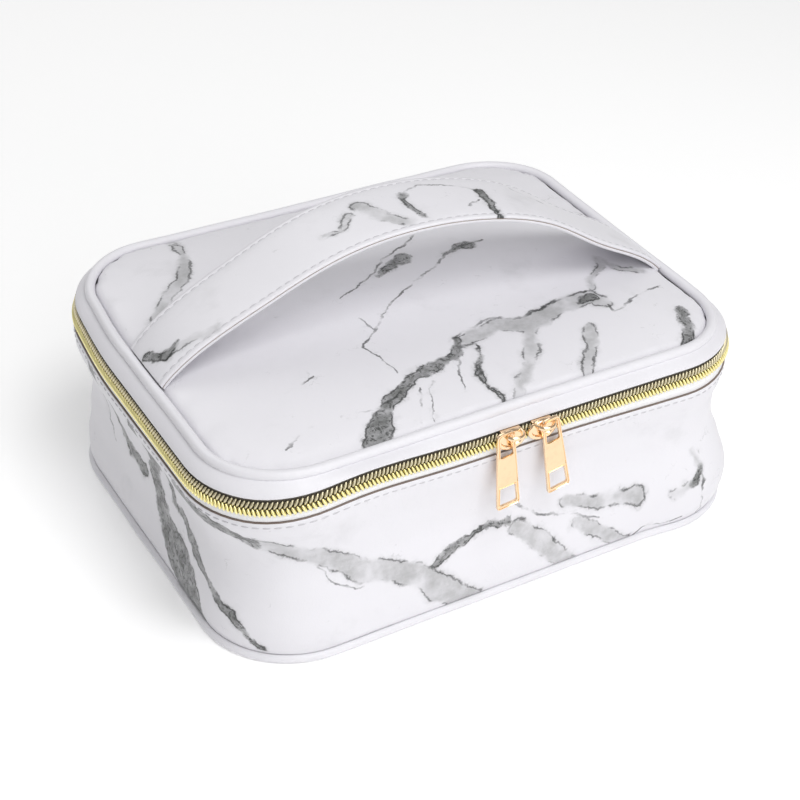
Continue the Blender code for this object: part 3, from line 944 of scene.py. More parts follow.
class CASE_OT_inside(TrainCaseOperator):
    """Cloth tray that lines the body, and the elastic brush loops on its back wall."""

    bl_idname = "case.inside"
    bl_label = "Inside"

    LOOPS = 7
    STEPS_A_LOOP = 12
    LOOP_STAND = 4.6  # how far a loop stands off the wall

    def execute(self, context):
        depth = PAD_THICKNESS + 0.5
        rim_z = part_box("body_lining")[1].z * MM
        heights = [8.0, 14.0, 22.0, 30.0, 38.0, 46.0, 54.0, 62.0, 70.0, 76.0, 81.0]
        side = [(smooth_profile(WALL_PROFILE, z) - depth, z) for z in heights]
        over = [(-3.4, rim_z), (-4.0, rim_z + 0.1), (-4.9, rim_z - 0.6)]
        corner = [(side[0][0] - 0.5, 5.9), (side[0][0] - 2.0, 4.5), (side[0][0] - 5.0, 4.1)]
        bm = whole_ring(over + side[::-1] + corner, False)
        for vertex in bm.verts:
            x, y, z = vertex.co
            free = smooth_profile(((8.0, 0.0), (20.0, 1.0), (70.0, 1.0), (80.0, 0.0)), z)
            inward = outward_at(x, y) * -0.5 * free * (1.0 + wander(run_distance(x, y), z, 24.0, 1.7))
            vertex.co += Vector((inward.x, inward.y, 0.0))
        bmesh.ops.contextual_create(bm, geom=rim_at(bm, corner[-1][1]))
        bmesh.ops.inset_region(bm, faces=broad_faces(bm), thickness=12.0)
        looks = ("case_body", "lining_cloth", lining_cloth())
        tray = finish_piece(bm, "body_lining_tray", *looks, ("body_lining",), boxed)
        thickened(tray, -0.6)
        self.brush_loops()
        return {"FINISHED"}

    def brush_loops(self):
        """A band sewn down at even steps, so that it stands off the wall between them."""
        low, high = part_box("brush_elastic")
        half = high.x * MM
        bm = bmesh.new()
        bottom = bm.verts.new((-half, low.y * MM, low.z * MM))
        top = bm.verts.new((-half, low.y * MM, high.z * MM))
        edge = bm.edges.new((bottom, top))
        bmesh.ops.subdivide_edges(bm, edges=[edge], cuts=8)
        along = straight(2 * half, 0, self.LOOPS * self.STEPS_A_LOOP)
        bmesh.ops.spin(bm, geom=bm.verts[:] + bm.edges[:], **along)
        for vertex in bm.verts:
            stand = abs(sin(pi * self.LOOPS * (vertex.co.x + half) / (2 * half)))
            wall = HALF_DEPTH + smooth_profile(WALL_PROFILE, vertex.co.z) - PAD_THICKNESS - 1.4
            vertex.co.y = wall - 1.0 - self.LOOP_STAND * stand ** 0.7
        looks = ("case_body", "elastic", black_elastic())
        band = finish_piece(bm, "brush_loops", *looks, ("brush_elastic",), along_the_wall)
        thickened(band, 1.0)


class CASE_OT_zip(TrainCaseOperator):
    """Both zip tapes and both rows of teeth."""

    bl_idname = "case.zip"
    bl_label = "Zip"

    LEAN = 0.28  # how far the chain leans in over the case for each unit of height
    TOOTH_RADIUS = 0.72
    SLANT = 24.0  # degrees
    # Below and above the parting: (the height of a tooth's middle from it, half a tooth's length).
    ROWS = {-1: (1.6, 2.0), 1: (1.5, 1.95)}

    def execute(self, context):
        lower = [(-2.0, 76.4), (-1.6, 79.6), (-0.5, 80.9), (-0.2, 82.4), (-0.5, 84.2), (-1.7, 84.9)]
        lower += [(-2.0, 87.1), (-2.8, 87.1), (-2.8, 76.4)]
        tape = ready("zip_tape_finish", woven_cloth, colours().tape, 0.62, 0.75, 0.05, 0.1, 0.88)
        looks = ("case_body", "zip_tape", tape)
        finish_piece(front_band(lower), "zip_tape_lower", *looks, ("lower_zip_tape",), on_wall)
        upper = [(-2.0, 87.7), (-1.9, 90.0), (-1.0, 91.5), (-1.1, 92.0), (-2.2, 92.2), (-5.2, 94.3)]
        upper += [(-5.7, 93.6), (-3.2, 91.2), (-3.0, 87.7)]
        # Painted shade: the upper tape's brown black stands for the shade under the lid band above the coil.
        dark = ready("dark_tape_finish", woven_cloth, colours().dark_tape, 0.62, 0.75)
        looks = ("lid", "dark_tape", dark)
        finish_piece(front_band(upper), "zip_tape_upper", *looks, ("upper_zip_tape",), on_wall)
        # Both rows are one gold; the upper row's darker copy of it is painted shade, for the shade under the
        # lid band.
        bright = ready("zip_coil_finish", gold_metal, colours().coil, 0.3, 0.1)
        shaded_gold = ready("upper_coil_finish", gold_metal, colours().painted_shade_coil, 0.3, 0.1)
        rows = ((-1, "lower", "case_body", bright), (1, "upper", "lid", shaded_gold))
        for side, name, body, gold in rows:
            looks = (body, "zip_coil", gold)
            stands_for = (name + "_zip_coil",)
            finish_piece(self.teeth(side), "zip_teeth_" + name, *looks, stands_for, on_wall, 60.0, (dark,))
        return {"FINISHED"}

    def teeth(self, side):
        """One row of slanting coil bars over the tape's cord. The cord takes the brown-black upper tape
        finish as painted shade between the teeth.
        """
        tooth_rise, tooth_half = self.ROWS[side]
        far = tooth_rise + tooth_half - 0.5
        cord = [(-1.9, 0.3), (-0.9, 0.3), (-0.7, tooth_rise), (-1.0, far), (-1.9, far)]
        section = [(offset - self.LEAN * side * rise, PARTING_Z + side * rise) for offset, rise in cord]
        bm = front_band(section)
        # Painted shade: the cord between the teeth is given the brown-black tape finish.
        for face in bm.faces:
            face.material_index = 1
        pitch = sizes().tooth_pitch * MM
        end = STRAIGHT_X * 2 + 2 * CORNER_ARC + 2 * STRAIGHT_Y - HINGE_HALF - pitch
        count = round(2 * end / pitch)
        slant = radians(self.SLANT) * side

        def add_tooth(small, index):
            point, outward, onward = run_place(-end + (index + 0.5 + side * 0.25) * pitch)
            along, out = Vector((*onward, 0.0)), Vector((*outward, 0.0))
            rise = (Vector((0, 0, 1)) - out * self.LEAN).normalized()
            facing = along.cross(rise).normalized()
            rise = (rise * cos(slant) + along * sin(slant)).normalized()
            turned = Matrix((rise.cross(facing), facing, rise)).transposed().to_4x4()
            inward = 0.45 + self.LEAN * side * tooth_rise
            middle = Vector((*(point - outward * inward), PARTING_Z + side * tooth_rise))
            shape = Matrix.Diagonal((self.TOOTH_RADIUS, 1.0, tooth_half, 1.0))
            place = Matrix.Translation(middle) @ turned @ shape
            bmesh.ops.create_uvsphere(small, u_segments=8, v_segments=5, radius=1.0, matrix=place)

        add_many(bm, count, add_tooth)
        return bm


class CASE_OT_hinge(TrainCaseOperator):
    """Marbled strip that joins the body and the lid along the back, where the real case folds as the lid
    opens; here it is built fixed, riding on no body.
    """

    bl_idname = "case.hinge"
    bl_label = "Cloth hinge"

    def execute(self, context):
        foot, top = WALL_TOP_Z + 0.3, 90.6
        rows = [foot + (top - foot) * step / 12 for step in range(13)]
        outer = [(0.3 - 0.5 * bell(z, PARTING_Z, 1.2), z) for z in rows]
        lid_part = [(-0.9, 91.7), (-2.6, 93.2), (-4.2, 94.4), (-5.6, 95.3)]
        inner = [(offset - SKIN, z - 0.5) for offset, z in reversed(outer + lid_part) if z > foot + 0.6]
        bm = hinge_band(outer + lid_part + inner + [(0.3 - SKIN, foot)])
        stands_for = ("back_hinge_strip", "lid_back_band")
        strip = finish_piece(bm, "cloth_hinge", None, "marble_leather", marble_plain(), stands_for, on_back)
        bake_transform(strip)
        return {"FINISHED"}


class CASE_OT_lid_rim(TrainCaseOperator):
    """White sloping band and fat piping round the lid."""

    bl_idname = "case.lid_rim"
    bl_label = "Lid rim"

    def execute(self, context):
        outer = [(-1.9, 91.5), (-1.2, 91.4), (-0.85, 91.8), (-1.0, 92.4), (-2.2, 93.4), (-4.0, 94.6)]
        outer += [(-5.7, 95.45), (-6.8, 96.3)]
        inner = [(-7.3, 95.6), (-6.2, 94.8), (-4.4, 93.9), (-2.8, 92.7)]
        looks = ("lid", "white_leather", white_leather())
        finish_piece(front_band(outer + inner), "white_lid_band", *looks, ("lid_band",), on_wall)
        radius = sizes().piping * MM
        bm = whole_ring(round_ring(-8.0, 96.7, radius, 14))
        for vertex in bm.verts:
            far = run_distance(vertex.co.x, vertex.co.y)
            outward = outward_at(vertex.co.x, vertex.co.y)
            drift = 0.35 * wander(far, 0.0, 34.0, 2.2)
            vertex.co += Vector((*(outward * drift), 0.25 * wander(far, 0.0, 26.0, 6.4)))
        finish_piece(bm, "lid_piping_ring", *looks, ("lid_piping",), on_wall)
        return {"FINISHED"}


class CASE_OT_lid_pad(TrainCaseOperator):
    """Padded marbled top of the lid, puffed up by a cloth simulation that is held along its seam."""

    bl_idname = "case.lid_pad"
    bl_label = "Padded lid"

    EDGE = -9.0  # the pad's edge, from the widest outline
    FOOT_Z = 89.6
    TOP_Z = 97.3
    VOXEL = 0.0045
    FRAMES = 20

    def flat_pad(self):
        bm = whole_ring([(self.EDGE, self.FOOT_Z), (self.EDGE, self.TOP_Z)], False)
        bmesh.ops.holes_fill(bm, edges=bm.edges, sides=0)
        bmesh.ops.recalc_face_normals(bm, faces=bm.faces)
        bmesh.ops.scale(bm, vec=(1 / MM, 1 / MM, 1 / MM), verts=bm.verts)
        mesh = bpy.data.meshes.new("flat_pad")
        bm.to_mesh(mesh)
        bm.free()
        return mesh

    def inset_of(self, x, y):
        """How far a place is inside the pad's edge, in millimetres."""
        dx = abs(x) - STRAIGHT_X
        dy = abs(y) - STRAIGHT_Y
        if dx > 0 and dy > 0:
            return CORNER_RADIUS + self.EDGE - hypot(dx, dy)
        return min(CORNER_RADIUS + self.EDGE - dx, CORNER_RADIUS + self.EDGE - dy)

    def puffed(self):
        """The pad's mesh, remeshed evenly and blown up by pressure with its seam held."""
        scene = bpy.context.scene
        pad = bpy.data.objects.new("pad_blank", self.flat_pad())
        scene.collection.objects.link(pad)
        remesh = pad.modifiers.new("remesh", "REMESH")
        remesh.mode = "VOXEL"
        remesh.voxel_size = self.VOXEL
        self.apply(pad)
        held = pad.vertex_groups.new(name="seam")
        for vertex in pad.data.vertices:
            x, y, z = vertex.co * MM
            if self.inset_of(x, y) < 3.0 or z < self.FOOT_Z + 2.0:
                held.add([vertex.index], 1.0, "REPLACE")
        cloth = pad.modifiers.new("cloth", "CLOTH")
        cloth.settings.vertex_group_mass = "seam"
        cloth.settings.use_pressure = True
        cloth.settings.uniform_pressure_force = 4.0
        cloth.settings.effector_weights.gravity = 0.0
        cloth.settings.quality = 5
        cloth.collision_settings.use_collision = False
        cloth.point_cache.frame_start = 1
        cloth.point_cache.frame_end = self.FRAMES
        for step in range(1, self.FRAMES + 1):
            scene.frame_set(step)
        self.apply(pad)
        scene.frame_set(1)
        return pad

    def apply(self, pad):
        graph = bpy.context.evaluated_depsgraph_get()
        mesh = bpy.data.meshes.new_from_object(pad.evaluated_get(graph))
        pad.modifiers.clear()
        pad.data = mesh

    def execute(self, context):
        pad = self.puffed()
        bm = bmesh.new()
        bm.from_mesh(pad.data)
        bpy.data.objects.remove(pad)
        bmesh.ops.scale(bm, vec=(MM, MM, MM), verts=bm.verts)
        bmesh.ops.subdivide_edges(bm, edges=bm.edges[:], cuts=1, use_grid_fill=True)
        self.dress(bm)
        looks = ("lid", "marble_leather", marble_lid())
        lid = finish_piece(bm, "marbled_lid_pad", *looks, ("lid_panel", "lid_foam"), from_above, 60.0)
        return {"FINISHED"}

    def dress(self, bm):
        """Limits the puff, and adds a crown, gathers along the seam, a crease at a corner and soft dents."""
        puff = sizes().lid_puff * MM
        for vertex in bm.verts:
            x, y, z = vertex.co
            if z < self.TOP_Z - 1.2:
                continue
            inset = max(0.0, self.inset_of(x, y))
            risen = max(0.0, z - self.TOP_Z)
            crown = puff * (1.0 - exp(-inset / 16.0))
            blown = min(1.0, risen / 6.0) * 0.8
            far = run_distance(x, y)
            gathers = 0.5 * wander(far, 0.0, 7.0, 4.4) * bell(inset, 5.0, 6.0)
            dents = 0.7 * noise.noise(Vector((x / 46.0, y / 46.0, 2.0))) * (1.0 - exp(-inset / 20.0))
            from_corner = hypot(x + 92.0, y + 70.0)
            crease = 1.3 * bell(inset, 4.0, 4.5) * bell(from_corner, 0.0, 48.0)
            vertex.co.z = self.TOP_Z + crown + blown + gathers + dents - crease - 0.5 * exp(-inset / 2.0)


class CASE_OT_lid_inside(TrainCaseOperator):
    """Lid lining with its net pocket and the pocket's bound edge."""

    bl_idname = "case.lid_inside"
    bl_label = "Inside of the lid"

    BINDING_STEPS = 60

    def execute(self, context):
        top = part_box("lid_lining")[1].z * MM
        bm = whole_ring([(-3.9, top - 0.4), (-5.0, top - 0.5), (-9.0, top - 0.8)], False)
        rim = [edge for edge in bm.edges if edge.is_boundary and edge.verts[0].co.z < top - 0.7]
        bmesh.ops.contextual_create(bm, geom=rim)
        bmesh.ops.inset_region(bm, faces=broad_faces(bm), thickness=14.0)
        looks = ("lid", "lining_cloth", lining_cloth())
        lining = finish_piece(bm, "lid_lining_sheet", *looks, ("lid_lining",), from_above)
        self.pocket()
        self.binding()
        return {"FINISHED"}

    def pocket(self):
        low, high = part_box("lid_pocket_mesh")
        x, front, back, z = high.x * MM, low.y * MM, high.y * MM, low.z * MM
        bm = bmesh.new()
        bmesh.ops.create_grid(bm, x_segments=38, y_segments=28, size=1.0)
        for vertex in bm.verts:
            across, deep = vertex.co.x, (vertex.co.y + 1.0) / 2
            corner = 0.06 * max(0.0, deep - 0.86) / 0.14
            sag = 1.2 * (1.0 - across * across) * (1.0 - deep)
            sag += 0.25 * wander(across * 60, deep * 60, 9.0, 7.7)
            place = (across * x * (1.0 - corner), front + deep * (back - front), z + 0.2 - 0.5 * sag)
            vertex.co = Vector(place)
        looks = ("lid", "pocket_mesh", ready("pocket_net_finish", open_mesh, (0.03, 0.03, 0.033)))
        net = finish_piece(bm, "pocket_net", *looks, ("lid_pocket_mesh",), from_above)

    def binding(self):
        """The folded elastic along the pocket's mouth, with a little ripple along its lower edge."""
        low, high = (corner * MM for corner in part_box("lid_pocket_binding"))
        bm = bmesh.new()
        section = [((low.y + high.y) / 2, low.z), (low.y, low.z + 0.5), (low.y, high.z - 0.2)]
        section += [(high.y, high.z - 0.2), (high.y, low.z + 0.5)]
        points = [bm.verts.new((-high.x, y, z)) for y, z in section]
        rim = [bm.edges.new(pair) for pair in zip(points, points[1:] + points[:1])]
        bmesh.ops.contextual_create(bm, geom=rim)
        along = straight(2 * high.x, 0, self.BINDING_STEPS)
        tip = bmesh.ops.spin(bm, geom=points + rim, **along)["geom_last"]
        bmesh.ops.contextual_create(bm, geom=[part for part in tip if isinstance(part, bmesh.types.BMEdge)])
        for vertex in bm.verts:
            if vertex.co.z < high.z - 0.5:
                vertex.co.z -= 0.35 * max(0.0, sin(vertex.co.x * 0.9))
        looks = ("lid", "elastic", black_elastic())
        finish_piece(bm, "pocket_binding", *looks, ("lid_pocket_binding",), from_above)


class CASE_OT_handle(TrainCaseOperator):
    """Wide two-layer strap with painted edges and a row of stitches along each edge."""

    bl_idname = "case.handle"
    bl_label = "Strap handle"

    HALF_SPAN = 118.0
    FOOT_Z = 97.0
    RISE = 48.0
    FULLNESS = 0.88
    FRONT_Y = -24.5
    SKEW = -0.0875
    END_WIDTH = 33.0
    SWELL = 8.0
    STATIONS = 72
    LAYER_GAP = 1.8  # from the underside to the foot of the upper layer
    STITCH_HEIGHT = 3.12
    SAMPLES = 600
    SEWN = 0.985  # how much of the half span has stitches

    def centre(self, part):
        """A point on the strap's underside, and the direction out of it."""
        x = self.HALF_SPAN * part
        z = self.FOOT_Z + self.RISE * max(0.0, 1.0 - part * part) ** self.FULLNESS
        z -= 4.7 * bell(x, 86.0, 21.0) + 2.3 * bell(x, -76.0, 30.0)
        slope = -2.0 * part * self.RISE / self.HALF_SPAN
        return Vector((x, 0.0, z)), Vector((-slope, 0.0, 1.0)).normalized()

    def edges_at(self, part):
        """Where the strap's front edge is, and its width there."""
        front = self.FRONT_Y + self.SKEW * self.HALF_SPAN * part - 3.0 * max(0.0, -part) ** 3
        return front, self.END_WIDTH + self.SWELL * (1.0 - part * part)

    def layer(self, shape):
        """Extrudes a rounded strip from one foot of the arch to the other.

        shape gives (which edge, how far inside it, height), and an edge of 0 is the middle.
        """
        bm = bmesh.new()
        tip, rims = None, []
        for station in range(self.STATIONS + 1):
            part = sin(pi * (station / self.STATIONS - 0.5))
            base, up = self.centre(part)
            front, width = self.edges_at(part)
            places = []
            for side, inset, height in shape:
                y = front + inset if side < 0 else front + width - inset
                y = front + width / 2 if side == 0 else y
                places.append(base + up * height + Vector((0.0, y, 0.0)))
            if tip is None:
                points = [bm.verts.new(place) for place in places]
                tip = [bm.edges.new(pair) for pair in zip(points, points[1:] + points[:1])]
                rims.append(tip)
                continue
            grown = bmesh.ops.extrude_edge_only(bm, edges=tip)["geom"]
            fresh = {}
            for vertex in (each for each in grown if isinstance(each, bmesh.types.BMVert)):
                fresh[min(range(len(points)), key=lambda n: (points[n].co - vertex.co).length)] = vertex
            points = [fresh[index] for index in range(len(points))]
            for vertex, place in zip(points, places):
                vertex.co = place
            edges = [each for each in grown if isinstance(each, bmesh.types.BMEdge)]
            tip = [edge for edge in edges if all(vertex in points for vertex in edge.verts)]
        rims.append(tip)
        for rim in rims:
            bmesh.ops.contextual_create(bm, geom=rim)
        return bm

    def execute(self, context):
        gap = self.LAYER_GAP
        half = [(0.0, 0.5), (0.05, 1.0), (0.5, 1.4), (1.6, 1.5), (2.3, 1.42), (2.6, 1.3), (2.9, 1.42)]
        half += [(4.5, 1.7), (9.0, 1.95)]
        over = [(-1, inset, gap + height) for inset, height in half] + [(0, 0.0, gap + 2.1)]
        over += [(1, inset, gap + height) for inset, height in reversed(half)]
        over += [(1, 0.4, gap + 0.02), (-1, 0.4, gap + 0.02)]
        looks = ("lid", "marble_leather", marble_strap())
        stands_for = ("handle_strap_top",)
        top = finish_piece(self.layer(over), "strap_top_layer", *looks, stands_for, from_above, 50.0)
        outer_edge = [(0.0, 1.0), (0.1, 1.45), (0.5, 1.6)]
        under = [(-1, *place) for place in outer_edge] + [(1, *place) for place in reversed(outer_edge)]
        under += [(1, 0.1, 0.4), (1, 0.6, 0.1), (-1, 0.6, 0.1), (-1, 0.1, 0.4)]
        looks = ("lid", "marble_leather", white_leather())
        stands_for = ("handle_strap_underside",)
        finish_piece(self.layer(under), "strap_under_layer", *looks, stands_for, from_above, 50.0)
        seam = [(-1, 0.35, 1.5), (-1, 0.35, 1.95), (1, 0.35, 1.95), (1, 0.35, 1.5)]
        paint = ready("edge_paint_finish", plain_leather, (0.30, 0.24, 0.20))
        finish_piece(self.layer(seam), "strap_edge_paint", "lid", "white_leather", paint)
        self.stitches()
        return {"FINISHED"}

    def stitches(self):
        inset = sizes().stitch_inset * MM
        for name, side in (("strap_stitches_front", -1), ("strap_stitches_back", 1)):
            samples = []
            travelled = 0.0
            for index in range(self.SAMPLES + 1):
                part = self.SEWN * (2.0 * index / self.SAMPLES - 1.0)
                base, up = self.centre(part)
                front, width = self.edges_at(part)
                y = front + inset if side < 0 else front + width - inset
                point = base + up * self.STITCH_HEIGHT + Vector((0.0, y, 0.0))
                if samples:
                    travelled += (point - samples[-1][1]).length
                samples.append((travelled, point, up))

            def place(distance):
                index = min(range(len(samples)), key=lambda n: abs(samples[n][0] - distance))
                index = max(1, min(len(samples) - 2, index))
                along = (samples[index + 1][1] - samples[index - 1][1]).normalized()
                up = samples[index][2]
                return samples[index][1], along, (up - along * up.dot(along)).normalized()

            bm = stitch_row(place, 0.0, travelled)
            finish_piece(bm, name, "lid", "white_leather", grey_shaded_thread())


ROUNDED = {"profile": 0.5, "affect": "EDGES", "material": -1}


def gold_rim():
    return ready("polished_gold_finish", gold_metal, colours().gold, 0.13, 0.04)


def gold_plate():
    return ready("satin_gold_finish", gold_metal, colours().gold, 0.30, 0.16)


class CASE_OT_sliders(TrainCaseOperator):
    """Both zip sliders: a dished oval plate, its lip round the coil, and the bail."""

    bl_idname = "case.sliders"
    bl_label = "Zip sliders"

    BAIL_HALF = 4.0
    BAIL_STEPS = 16
    WIRE_ACROSS = 0.72
    WIRE_HIGH = 1.05

    def execute(self, context):
        for side in ("left", "right"):
            node = "slider_" + side
            low, high = (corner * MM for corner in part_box(node))
            bm = bmesh.new()
            self.plate(bm, low, high)
            self.bail(bm, (low.x + high.x) / 2, low.y)
            self.lips(bm, (low.x + high.x) / 2)
            finish_piece(bm, node + "_body", side + "_slider", "rose_gold", gold_rim(), (node,), None, 40.0)
        return {"FINISHED"}

    def plate(self, bm, low, high):
        """An oval with a raised rounded rim and a dished face, between the CAD slider's corners."""
        middle, half = (low.x + high.x) / 2, (high.x - low.x) / 2
        centre = Vector((middle, -HALF_DEPTH - 1.0, (low.z + high.z) / 2))
        lie = Matrix.Translation(centre) @ Matrix.Rotation(pi / 2, 4, "X")
        stretch = Matrix.Diagonal((half, (high.z - low.z) / 2, 1.0, 1.0))
        made = bmesh.ops.create_circle(bm, cap_ends=True, segments=36, radius=1.0, matrix=lie @ stretch)
        face = made["verts"][0].link_faces[0]
        grown = bmesh.ops.extrude_face_region(bm, geom=[face], use_keep_orig=True)["geom"]
        front = next(part for part in grown if isinstance(part, bmesh.types.BMFace))
        bmesh.ops.translate(bm, vec=(0, -1.6, 0), verts=front.verts)
        for vertex in front.verts:
            vertex.co.y += 0.5 * abs((vertex.co.x - middle) / half) ** 2
        bmesh.ops.bevel(bm, geom=front.edges[:], offset=0.7, segments=3, **ROUNDED)
        bm.faces.ensure_lookup_table()
        front = max((f for f in bm.faces if len(f.verts) > 20), key=lambda f: -f.calc_center_median().y)
        bmesh.ops.inset_region(bm, faces=[front], thickness=0.9)
        bmesh.ops.inset_region(bm, faces=[front], thickness=0.5, depth=-0.75)

    def bail(self, bm, middle, crown_y):
        """A rounded bar bent into an arch over the plate."""
        height = frame["joints"][-1]["pos_m"][2] * MM
        root = -HALF_DEPTH - 2.0
        deep = crown_y + 0.9 - root
        ring = bmesh.ops.create_circle(bm, segments=10, radius=1.0)["verts"]
        rest = [vertex.co.copy() for vertex in ring]
        tip = list({edge for vertex in ring for edge in vertex.link_edges})
        ends = [tip]
        for step in range(self.BAIL_STEPS + 1):
            angle = pi * step / self.BAIL_STEPS
            rounding = abs(cos(angle)) ** 0.8 * copysign(1, cos(angle))
            centre = Vector((middle - self.BAIL_HALF * rounding, root + deep * sin(angle) ** 0.7, height))
            onward = Vector((sin(angle) + 0.001, deep / self.BAIL_HALF * cos(angle), 0.0)).normalized()
            side = Vector((onward.y, -onward.x, 0.0))
            if step:
                grown = bmesh.ops.extrude_edge_only(bm, edges=tip)["geom"]
                tip = [part for part in grown if isinstance(part, bmesh.types.BMEdge) and part.is_boundary]
                fresh = [part for part in grown if isinstance(part, bmesh.types.BMVert)]
                ring = [min(fresh, key=lambda v, o=old: (v.co - o.co).length) for old in ring]
            for vertex, place in zip(ring, rest):
                high = Vector((0, 0, self.WIRE_HIGH * place.y))
                vertex.co = centre + side * place.x * self.WIRE_ACROSS + high
        ends.append(tip)
        for rim in ends:
            bmesh.ops.contextual_create(bm, geom=rim)

    def lips(self, bm, middle):
        """Flanges that wrap the coil above and below the plate."""
        for rise in (-3.75, 3.75):
            place = Matrix.Translation((middle, -HALF_DEPTH - 0.3, PARTING_Z + rise))
            shape = Matrix.Diagonal((9.6, 2.6, 0.9, 1.0))
            made = bmesh.ops.create_cube(bm, size=1.0, matrix=place @ shape)
            edges = list({edge for vertex in made["verts"] for edge in vertex.link_edges})
            bmesh.ops.bevel(bm, geom=edges, offset=0.35, segments=2, **ROUNDED)


class CASE_OT_pull_tabs(TrainCaseOperator):
    """Both pull tabs, each with a raised rim, a satin plate and two windows."""

    bl_idname = "case.pull_tabs"
    bl_label = "Pull tabs"

    TABS = {"left": (5.4, -0.4), "right": (10.7, -1.4)}  # (lean in degrees, shift to the side)
    HALF_TOP = 4.3
    HALF_FOOT = 5.7
    TOP = 2.7
    FOOT = -38.0
    THICKNESS = 1.4
    RIM = 1.5

    def mirrored(self, half):
        """A closed outline from its right half."""
        return half + [(-x, z) for x, z in reversed(half)]

    def loops(self):
        """The outline, the eye that the bail passes through and the window at the foot."""
        top, foot, low = self.HALF_TOP, self.HALF_FOOT, self.FOOT
        outline = [(foot - 1.4, low), (foot - 0.4, low + 0.4), (foot, low + 1.4), (top, 0.6)]
        outline += [(top - 0.6, 1.9), (top - 1.8, self.TOP)]
        eye = top - self.RIM + 0.1
        eye_loop = [(eye - 0.6, -10.2), (eye + 0.2, -9.6), (eye, 0.4), (eye - 0.8, 1.2)]
        hole = foot - self.RIM
        sill = low + self.RIM + 0.4
        window = [(hole - 0.5, sill), (hole, sill + 0.5), (hole - 0.4, low + 11.5)]
        return [self.mirrored(half) for half in (outline, eye_loop, window)]

    def execute(self, context):
        for side, (lean, shift) in self.TABS.items():
            node = "pull_tab_" + side
            low, high = (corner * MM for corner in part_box(node))
            joint = next(each for each in frame["joints"] if each["child"] == side + "_tab")
            pivot = Vector(joint["pos_m"]) * MM
            bm = bmesh.new()
            edges = []
            for loop in self.loops():
                points = [bm.verts.new((x, 0.0, z)) for x, z in loop]
                edges += [bm.edges.new(pair) for pair in zip(points, points[1:] + points[:1])]
            bmesh.ops.triangle_fill(bm, edges=edges, use_beauty=True)
            bmesh.ops.translate(bm, vec=(0, self.THICKNESS / 2, 0), verts=bm.verts)
            grown = bmesh.ops.extrude_face_region(bm, geom=bm.faces[:], use_keep_orig=True)["geom"]
            moved = [part for part in grown if isinstance(part, bmesh.types.BMVert)]
            bmesh.ops.translate(bm, vec=(0, -self.THICKNESS, 0), verts=moved)
            bmesh.ops.recalc_face_normals(bm, faces=bm.faces)
            for facing in (-1, 1):
                broad = [face for face in bm.faces if face.normal.y * facing > 0.9]
                bmesh.ops.inset_region(bm, faces=broad, thickness=0.5, use_even_offset=False)
                bmesh.ops.inset_region(bm, faces=broad, thickness=0.14, depth=-0.28, use_even_offset=False)
                for face in broad:
                    face.material_index = 1
            closed = [edge for edge in bm.edges if len(edge.link_faces) == 2]
            sharp = [edge for edge in closed if edge.calc_face_angle() > radians(80)]
            bmesh.ops.bevel(bm, geom=sharp, offset=0.28, segments=2, **ROUNDED)
            turned = Matrix.Rotation(-radians(lean), 4, "Y")
            place = Matrix.Translation((pivot.x, (low.y + high.y) / 2, pivot.z))
            place = place @ turned @ Matrix.Translation((shift, 0, 0))
            bmesh.ops.transform(bm, matrix=place, verts=bm.verts)
            looks = (side + "_tab", "rose_gold", gold_rim())
            finish_piece(bm, node + "_plate", *looks, (node,), None, 40.0, (gold_plate(),))
        return {"FINISHED"}


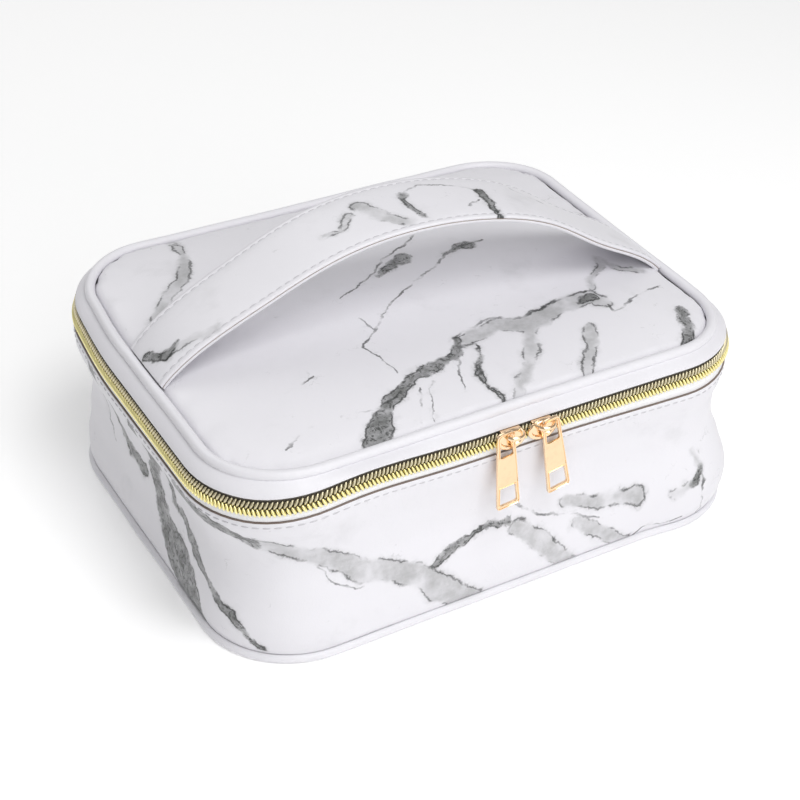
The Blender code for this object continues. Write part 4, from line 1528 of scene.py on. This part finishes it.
class CASE_OT_stage(TrainCaseOperator):
    """Pale floor, soft studio light and the camera."""

    bl_idname = "case.stage"
    bl_label = "Stage"

    AIM = Vector((0.0012, 0.0, 0.0386))
    DISTANCE = 0.87377
    AZIMUTH = -30.62
    ELEVATION = 35.99
    ROLL = 1.54
    FOCAL = 83.29
    FLOOR_GLOW = 0.12
    SKY_STRENGTH = 0.36
    LIT = Vector((0.0, 0.0, 0.05))  # where the lamps point
    LAMPS = (  # (name, place, side of its square, power)
        ("key_softbox", (0.1, -0.55, 1.3), 0.6, 7.4),
        ("front_softbox", (0.05, -1.35, 0.85), 1.3, 10.0),
        ("back_softbox", (-0.2, 1.0, 1.2), 1.0, 4.5),
    )

    def execute(self, context):
        self.floor()
        self.camera(context)
        self.lights(context)
        return {"FINISHED"}

    def floor(self):
        bm = bmesh.new()
        bmesh.ops.create_grid(bm, x_segments=2, y_segments=2, size=3.0)
        mesh = bpy.data.meshes.new("studio_floor")
        bm.to_mesh(mesh)
        bm.free()
        bench = Bench("studio_floor_finish")
        tone = bench.mix(bench.cloud(bench.space(), 300.0), (0.985, 0.985, 0.985), (0.995, 0.995, 0.995))
        constants = {"Roughness": 0.75, "Specular IOR Level": 0.2}
        constants.update({"Emission Color": (1.0, 1.0, 1.0), "Emission Strength": self.FLOOR_GLOW})
        mesh.materials.append(bench.finish(constants, Base_Color=tone))
        made = bpy.data.objects.new("studio_floor", mesh)
        bpy.context.scene.collection.objects.link(made)

    def camera(self, context):
        around, above, roll = radians(self.AZIMUTH), radians(self.ELEVATION), radians(self.ROLL)
        back = Vector((sin(around) * cos(above), -cos(around) * cos(above), sin(above)))
        right = Vector((cos(around), sin(around), 0.0))
        up = back.cross(right)
        level_right = right * cos(roll) + up * sin(roll)
        level_up = up * cos(roll) - right * sin(roll)
        turned = Matrix((level_right, level_up, back)).transposed().to_4x4()
        made = bpy.data.objects.new("camera", bpy.data.cameras.new("camera"))
        made.data.lens = self.FOCAL
        made.data.sensor_width = 36.0
        made.data.clip_start = 0.01
        made.matrix_world = Matrix.Translation(self.AIM + back * self.DISTANCE) @ turned
        context.scene.collection.objects.link(made)
        context.scene.camera = made

    def lights(self, context):
        for name, place, size, power in self.LAMPS:
            data = bpy.data.lights.new(name, "AREA")
            data.shape = "SQUARE"
            data.size = size
            data.energy = power
            made = bpy.data.objects.new(name, data)
            made.location = place
            made.rotation_euler = (self.LIT - Vector(place)).to_track_quat("-Z", "Y").to_euler()
            context.scene.collection.objects.link(made)
        world = bpy.data.worlds.new("studio")
        world.use_nodes = True
        sky = world.node_tree.nodes["Background"]
        sky.inputs[0].default_value = (1.0, 1.0, 1.0, 1.0)
        sky.inputs[1].default_value = self.SKY_STRENGTH
        context.scene.world = world
        context.scene.view_settings.view_transform = "Standard"


OPERATORS = (
    CASE_OT_base,
    CASE_OT_walls,
    CASE_OT_inside,
    CASE_OT_zip,
    CASE_OT_hinge,
    CASE_OT_lid_rim,
    CASE_OT_lid_pad,
    CASE_OT_lid_inside,
    CASE_OT_handle,
    CASE_OT_sliders,
    CASE_OT_pull_tabs,
    CASE_OT_stage,
)


class CASE_PT_sidebar(bpy.types.Panel):
    """Lists the case's sizes, colours and operators."""

    bl_idname = "CASE_PT_sidebar"
    bl_label = "Train Case"
    bl_space_type = "VIEW_3D"
    bl_region_type = "UI"
    bl_category = "Train Case"

    def draw(self, context):
        for group in (context.scene.case_sizes, context.scene.case_colours):
            box = self.layout.box()
            for name in group.__annotations__:
                box.prop(group, name)
        for operator in OPERATORS:
            self.layout.operator(operator.bl_idname)


CLASSES = (CaseSizes, CaseColours, *OPERATORS, CASE_PT_sidebar)


def register():
    for each in CLASSES:
        bpy.utils.register_class(each)
    bpy.types.Scene.case_sizes = PointerProperty(type=CaseSizes)
    bpy.types.Scene.case_colours = PointerProperty(type=CaseColours)


def unregister():
    del bpy.types.Scene.case_colours
    del bpy.types.Scene.case_sizes
    for each in reversed(CLASSES):
        bpy.utils.unregister_class(each)


def main():
    register()
    for operator in OPERATORS:
        family, name = operator.bl_idname.split(".")
        getattr(getattr(bpy.ops, family), name)()


if __name__ == "__main__":
    main()
